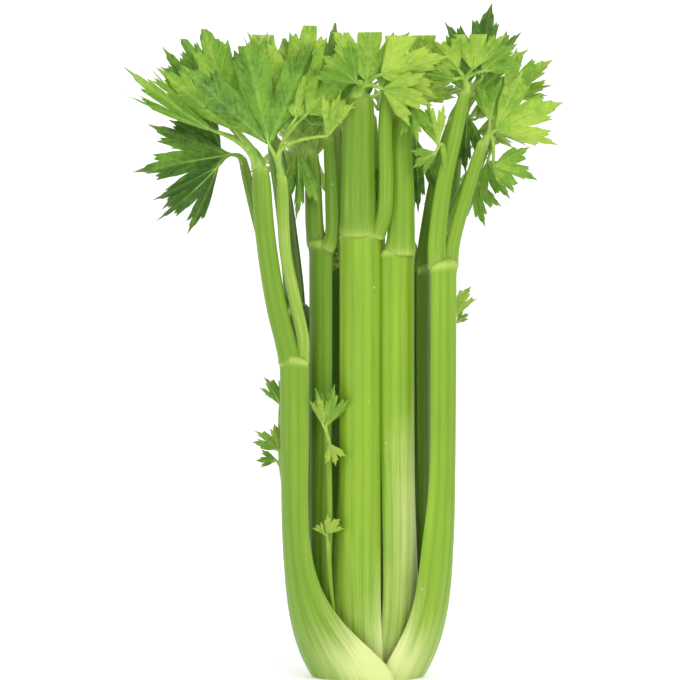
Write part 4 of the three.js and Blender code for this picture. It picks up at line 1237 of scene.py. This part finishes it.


# How light each leaflet is, from 0 for deep green to 1 for yellow green: partly its own tone, as young leaves
# are yellower, and partly painted light and shade, deep green for leaflets in shade and yellow green for lit
# ones; others are drawn.
leafToneAndLight = {
    "leaf_outer_front_left_a": [0.55, 0.3, 0.6, 0.35],
    "leaf_outer_front_left_b": [0.3, 0.75, 0.65, 0.9],
    "leaf_outer_front_right_a": [0.85, 0.9, 0.75, 0.7],
    "leaf_outer_front_right_b": [0.9, 0.65, 0.6],
    "leaf_outer_front_right_c": [0.9, 0.7],
    "leaf_outer_back_left_b": [0.22, 0.0, 0.12],
    "leaf_middle_front_a": [0.72, 0.6, 1.0, 0.95],
    "leaf_middle_front_right_a": [0.9, 0.75, 0.6, 0.3],
    "leaf_middle_right_a": [0.15, 0.6, 0.75, 0.3],
    "leaf_middle_right_b": [0.8, 0.65, 0.5, 0.6],
    "leaf_shoot_front_left": [0.5, 0.75, 1.2],
    "leaf_shoot_front_low": [1.5, 1.3],
    "leaf_shoot_left": [0.8, 0.7, 0.6],
    "leaf_shoot_right": [0.85, 0.7],
}
toneDraw = random.Random(11)
for owner in stalks + shoots:
    limbs = owner["limbs"] if "limbs" in owner else [owner]
    for limb in limbs:
        if "leaf" not in limb:
            continue
        if owner in shoots:
            node, slotName = owner["name"].replace("shoot", "leaf_shoot"), "young_leaf"
        else:
            node = owner["name"].replace("stalk", "leaf") + "_" + limb["name"]
            slotName = "young_leaf" if owner["ring"] is heartRing else "leaf"
        drawn = [toneDraw.uniform(0.25, 0.6) for _ in limb["leaf"]["leaflets"]]
        tonesAndLight = leafToneAndLight.get(node, drawn)
        plans = leafPlan(limb["leaf"], limb, owner["azimuth"], tonesAndLight)
        adopt(leafPiece(node + "Blades", plans), node)
bladeShaper.remove()
print("leaves made")


# The pale paper, the lights and the camera.
studio = {
    "paper": (0.86, 0.86, 0.86, 1),
    "paperRoughness": 0.9,
    "paperGlow": 0.3,
    "daylight": 0.42,
    # each soft light: its place, what it points at, its side in metres, and watts
    "lights": {
        "keyRight": ((0.7, -1.6, 1.1), (0, 0, 0.17), 1.1, 19),
        "fillLeft": ((-1.4, -1.1, 0.6), (0, 0, 0.15), 1.2, 7),
        "topSoft": ((0, -0.1, 1.6), (0, 0, 0.2), 1.4, 12),
    },
}


def stageSweep():
    profile = [(-3, 0), (0.5, 0), (0.9, 0.03), (1.2, 0.14), (1.4, 0.36), (1.5, 0.7), (1.52, 3)]
    points = [(x, y, z) for y, z in profile for x in (-4, 4)]
    faces = [(2 * i, 2 * i + 1, 2 * i + 3, 2 * i + 2) for i in range(len(profile) - 1)]
    mesh = bpy.data.meshes.new("paperSweep")
    mesh.from_pydata(points, [], faces)
    mesh.shade_smooth()
    sweep = newObject("paperSweep", mesh)
    paper = newMaterial("palePaper", lambda bench: {}, {
        "Base Color": studio["paper"], "Roughness": studio["paperRoughness"],
        "Emission Color": (1, 1, 1, 1), "Emission Strength": studio["paperGlow"]})
    # the back of the paper is clear, so that the head can also be seen from behind
    bench = Bench(paper.node_tree)
    front = Wire(bench, bench.tree.nodes["Principled BSDF"].outputs[0])
    behind = bench.make("ShaderNodeNewGeometry", out="Backfacing")
    clear = bench.make("ShaderNodeBsdfTransparent")
    choice = bench.make("ShaderNodeMixShader", {}, {0: behind, 1: front, 2: clear})
    bench.tree.links.new(choice.socket, bench.tree.nodes["Material Output"].inputs["Surface"])
    mesh.materials.append(paper)


def softLight(name, place, target, size, watts):
    lamp = bpy.data.lights.new(name, "AREA")
    lamp.shape, lamp.size, lamp.size_y, lamp.energy = "RECTANGLE", size, size, watts
    holder = newObject(name, lamp)
    holder.location = place
    holder.rotation_euler = (Vector(target) - Vector(place)).to_track_quat("-Z", "Y").to_euler()


# The camera: focal length and film width in mm, metres across the picture at the head, and
# degrees of elevation.
shot = {"focal": 250, "film": 36, "acrossAtObject": 0.34, "aim": (-0.014, 0, 0.1685), "elevation": 2}


def placeCamera():
    lens = bpy.data.cameras.new("frontView")
    lens.lens, lens.sensor_width = shot["focal"], shot["film"]
    lens.clip_end = 20
    distance = shot["focal"] / shot["film"] * shot["acrossAtObject"]
    turn = math.radians(shot["elevation"])
    aim = Vector(shot["aim"])
    holder = newObject("frontView", lens)
    holder.location = aim + Vector((0, -math.cos(turn), math.sin(turn))) * distance
    holder.rotation_euler = (aim - holder.location).to_track_quat("-Z", "Y").to_euler()
    bpy.context.scene.camera = holder


stageSweep()
for name, light in studio["lights"].items():
    softLight(name, *light)
placeCamera()
world = bpy.data.worlds.new("studio")
world.use_nodes = True
sky = world.node_tree.nodes["Background"].inputs
sky["Color"].default_value, sky["Strength"].default_value = (1, 1, 1, 1), studio["daylight"]
bpy.context.scene.world = world
bpy.context.scene.view_settings.view_transform = "Standard"
print("stage set")
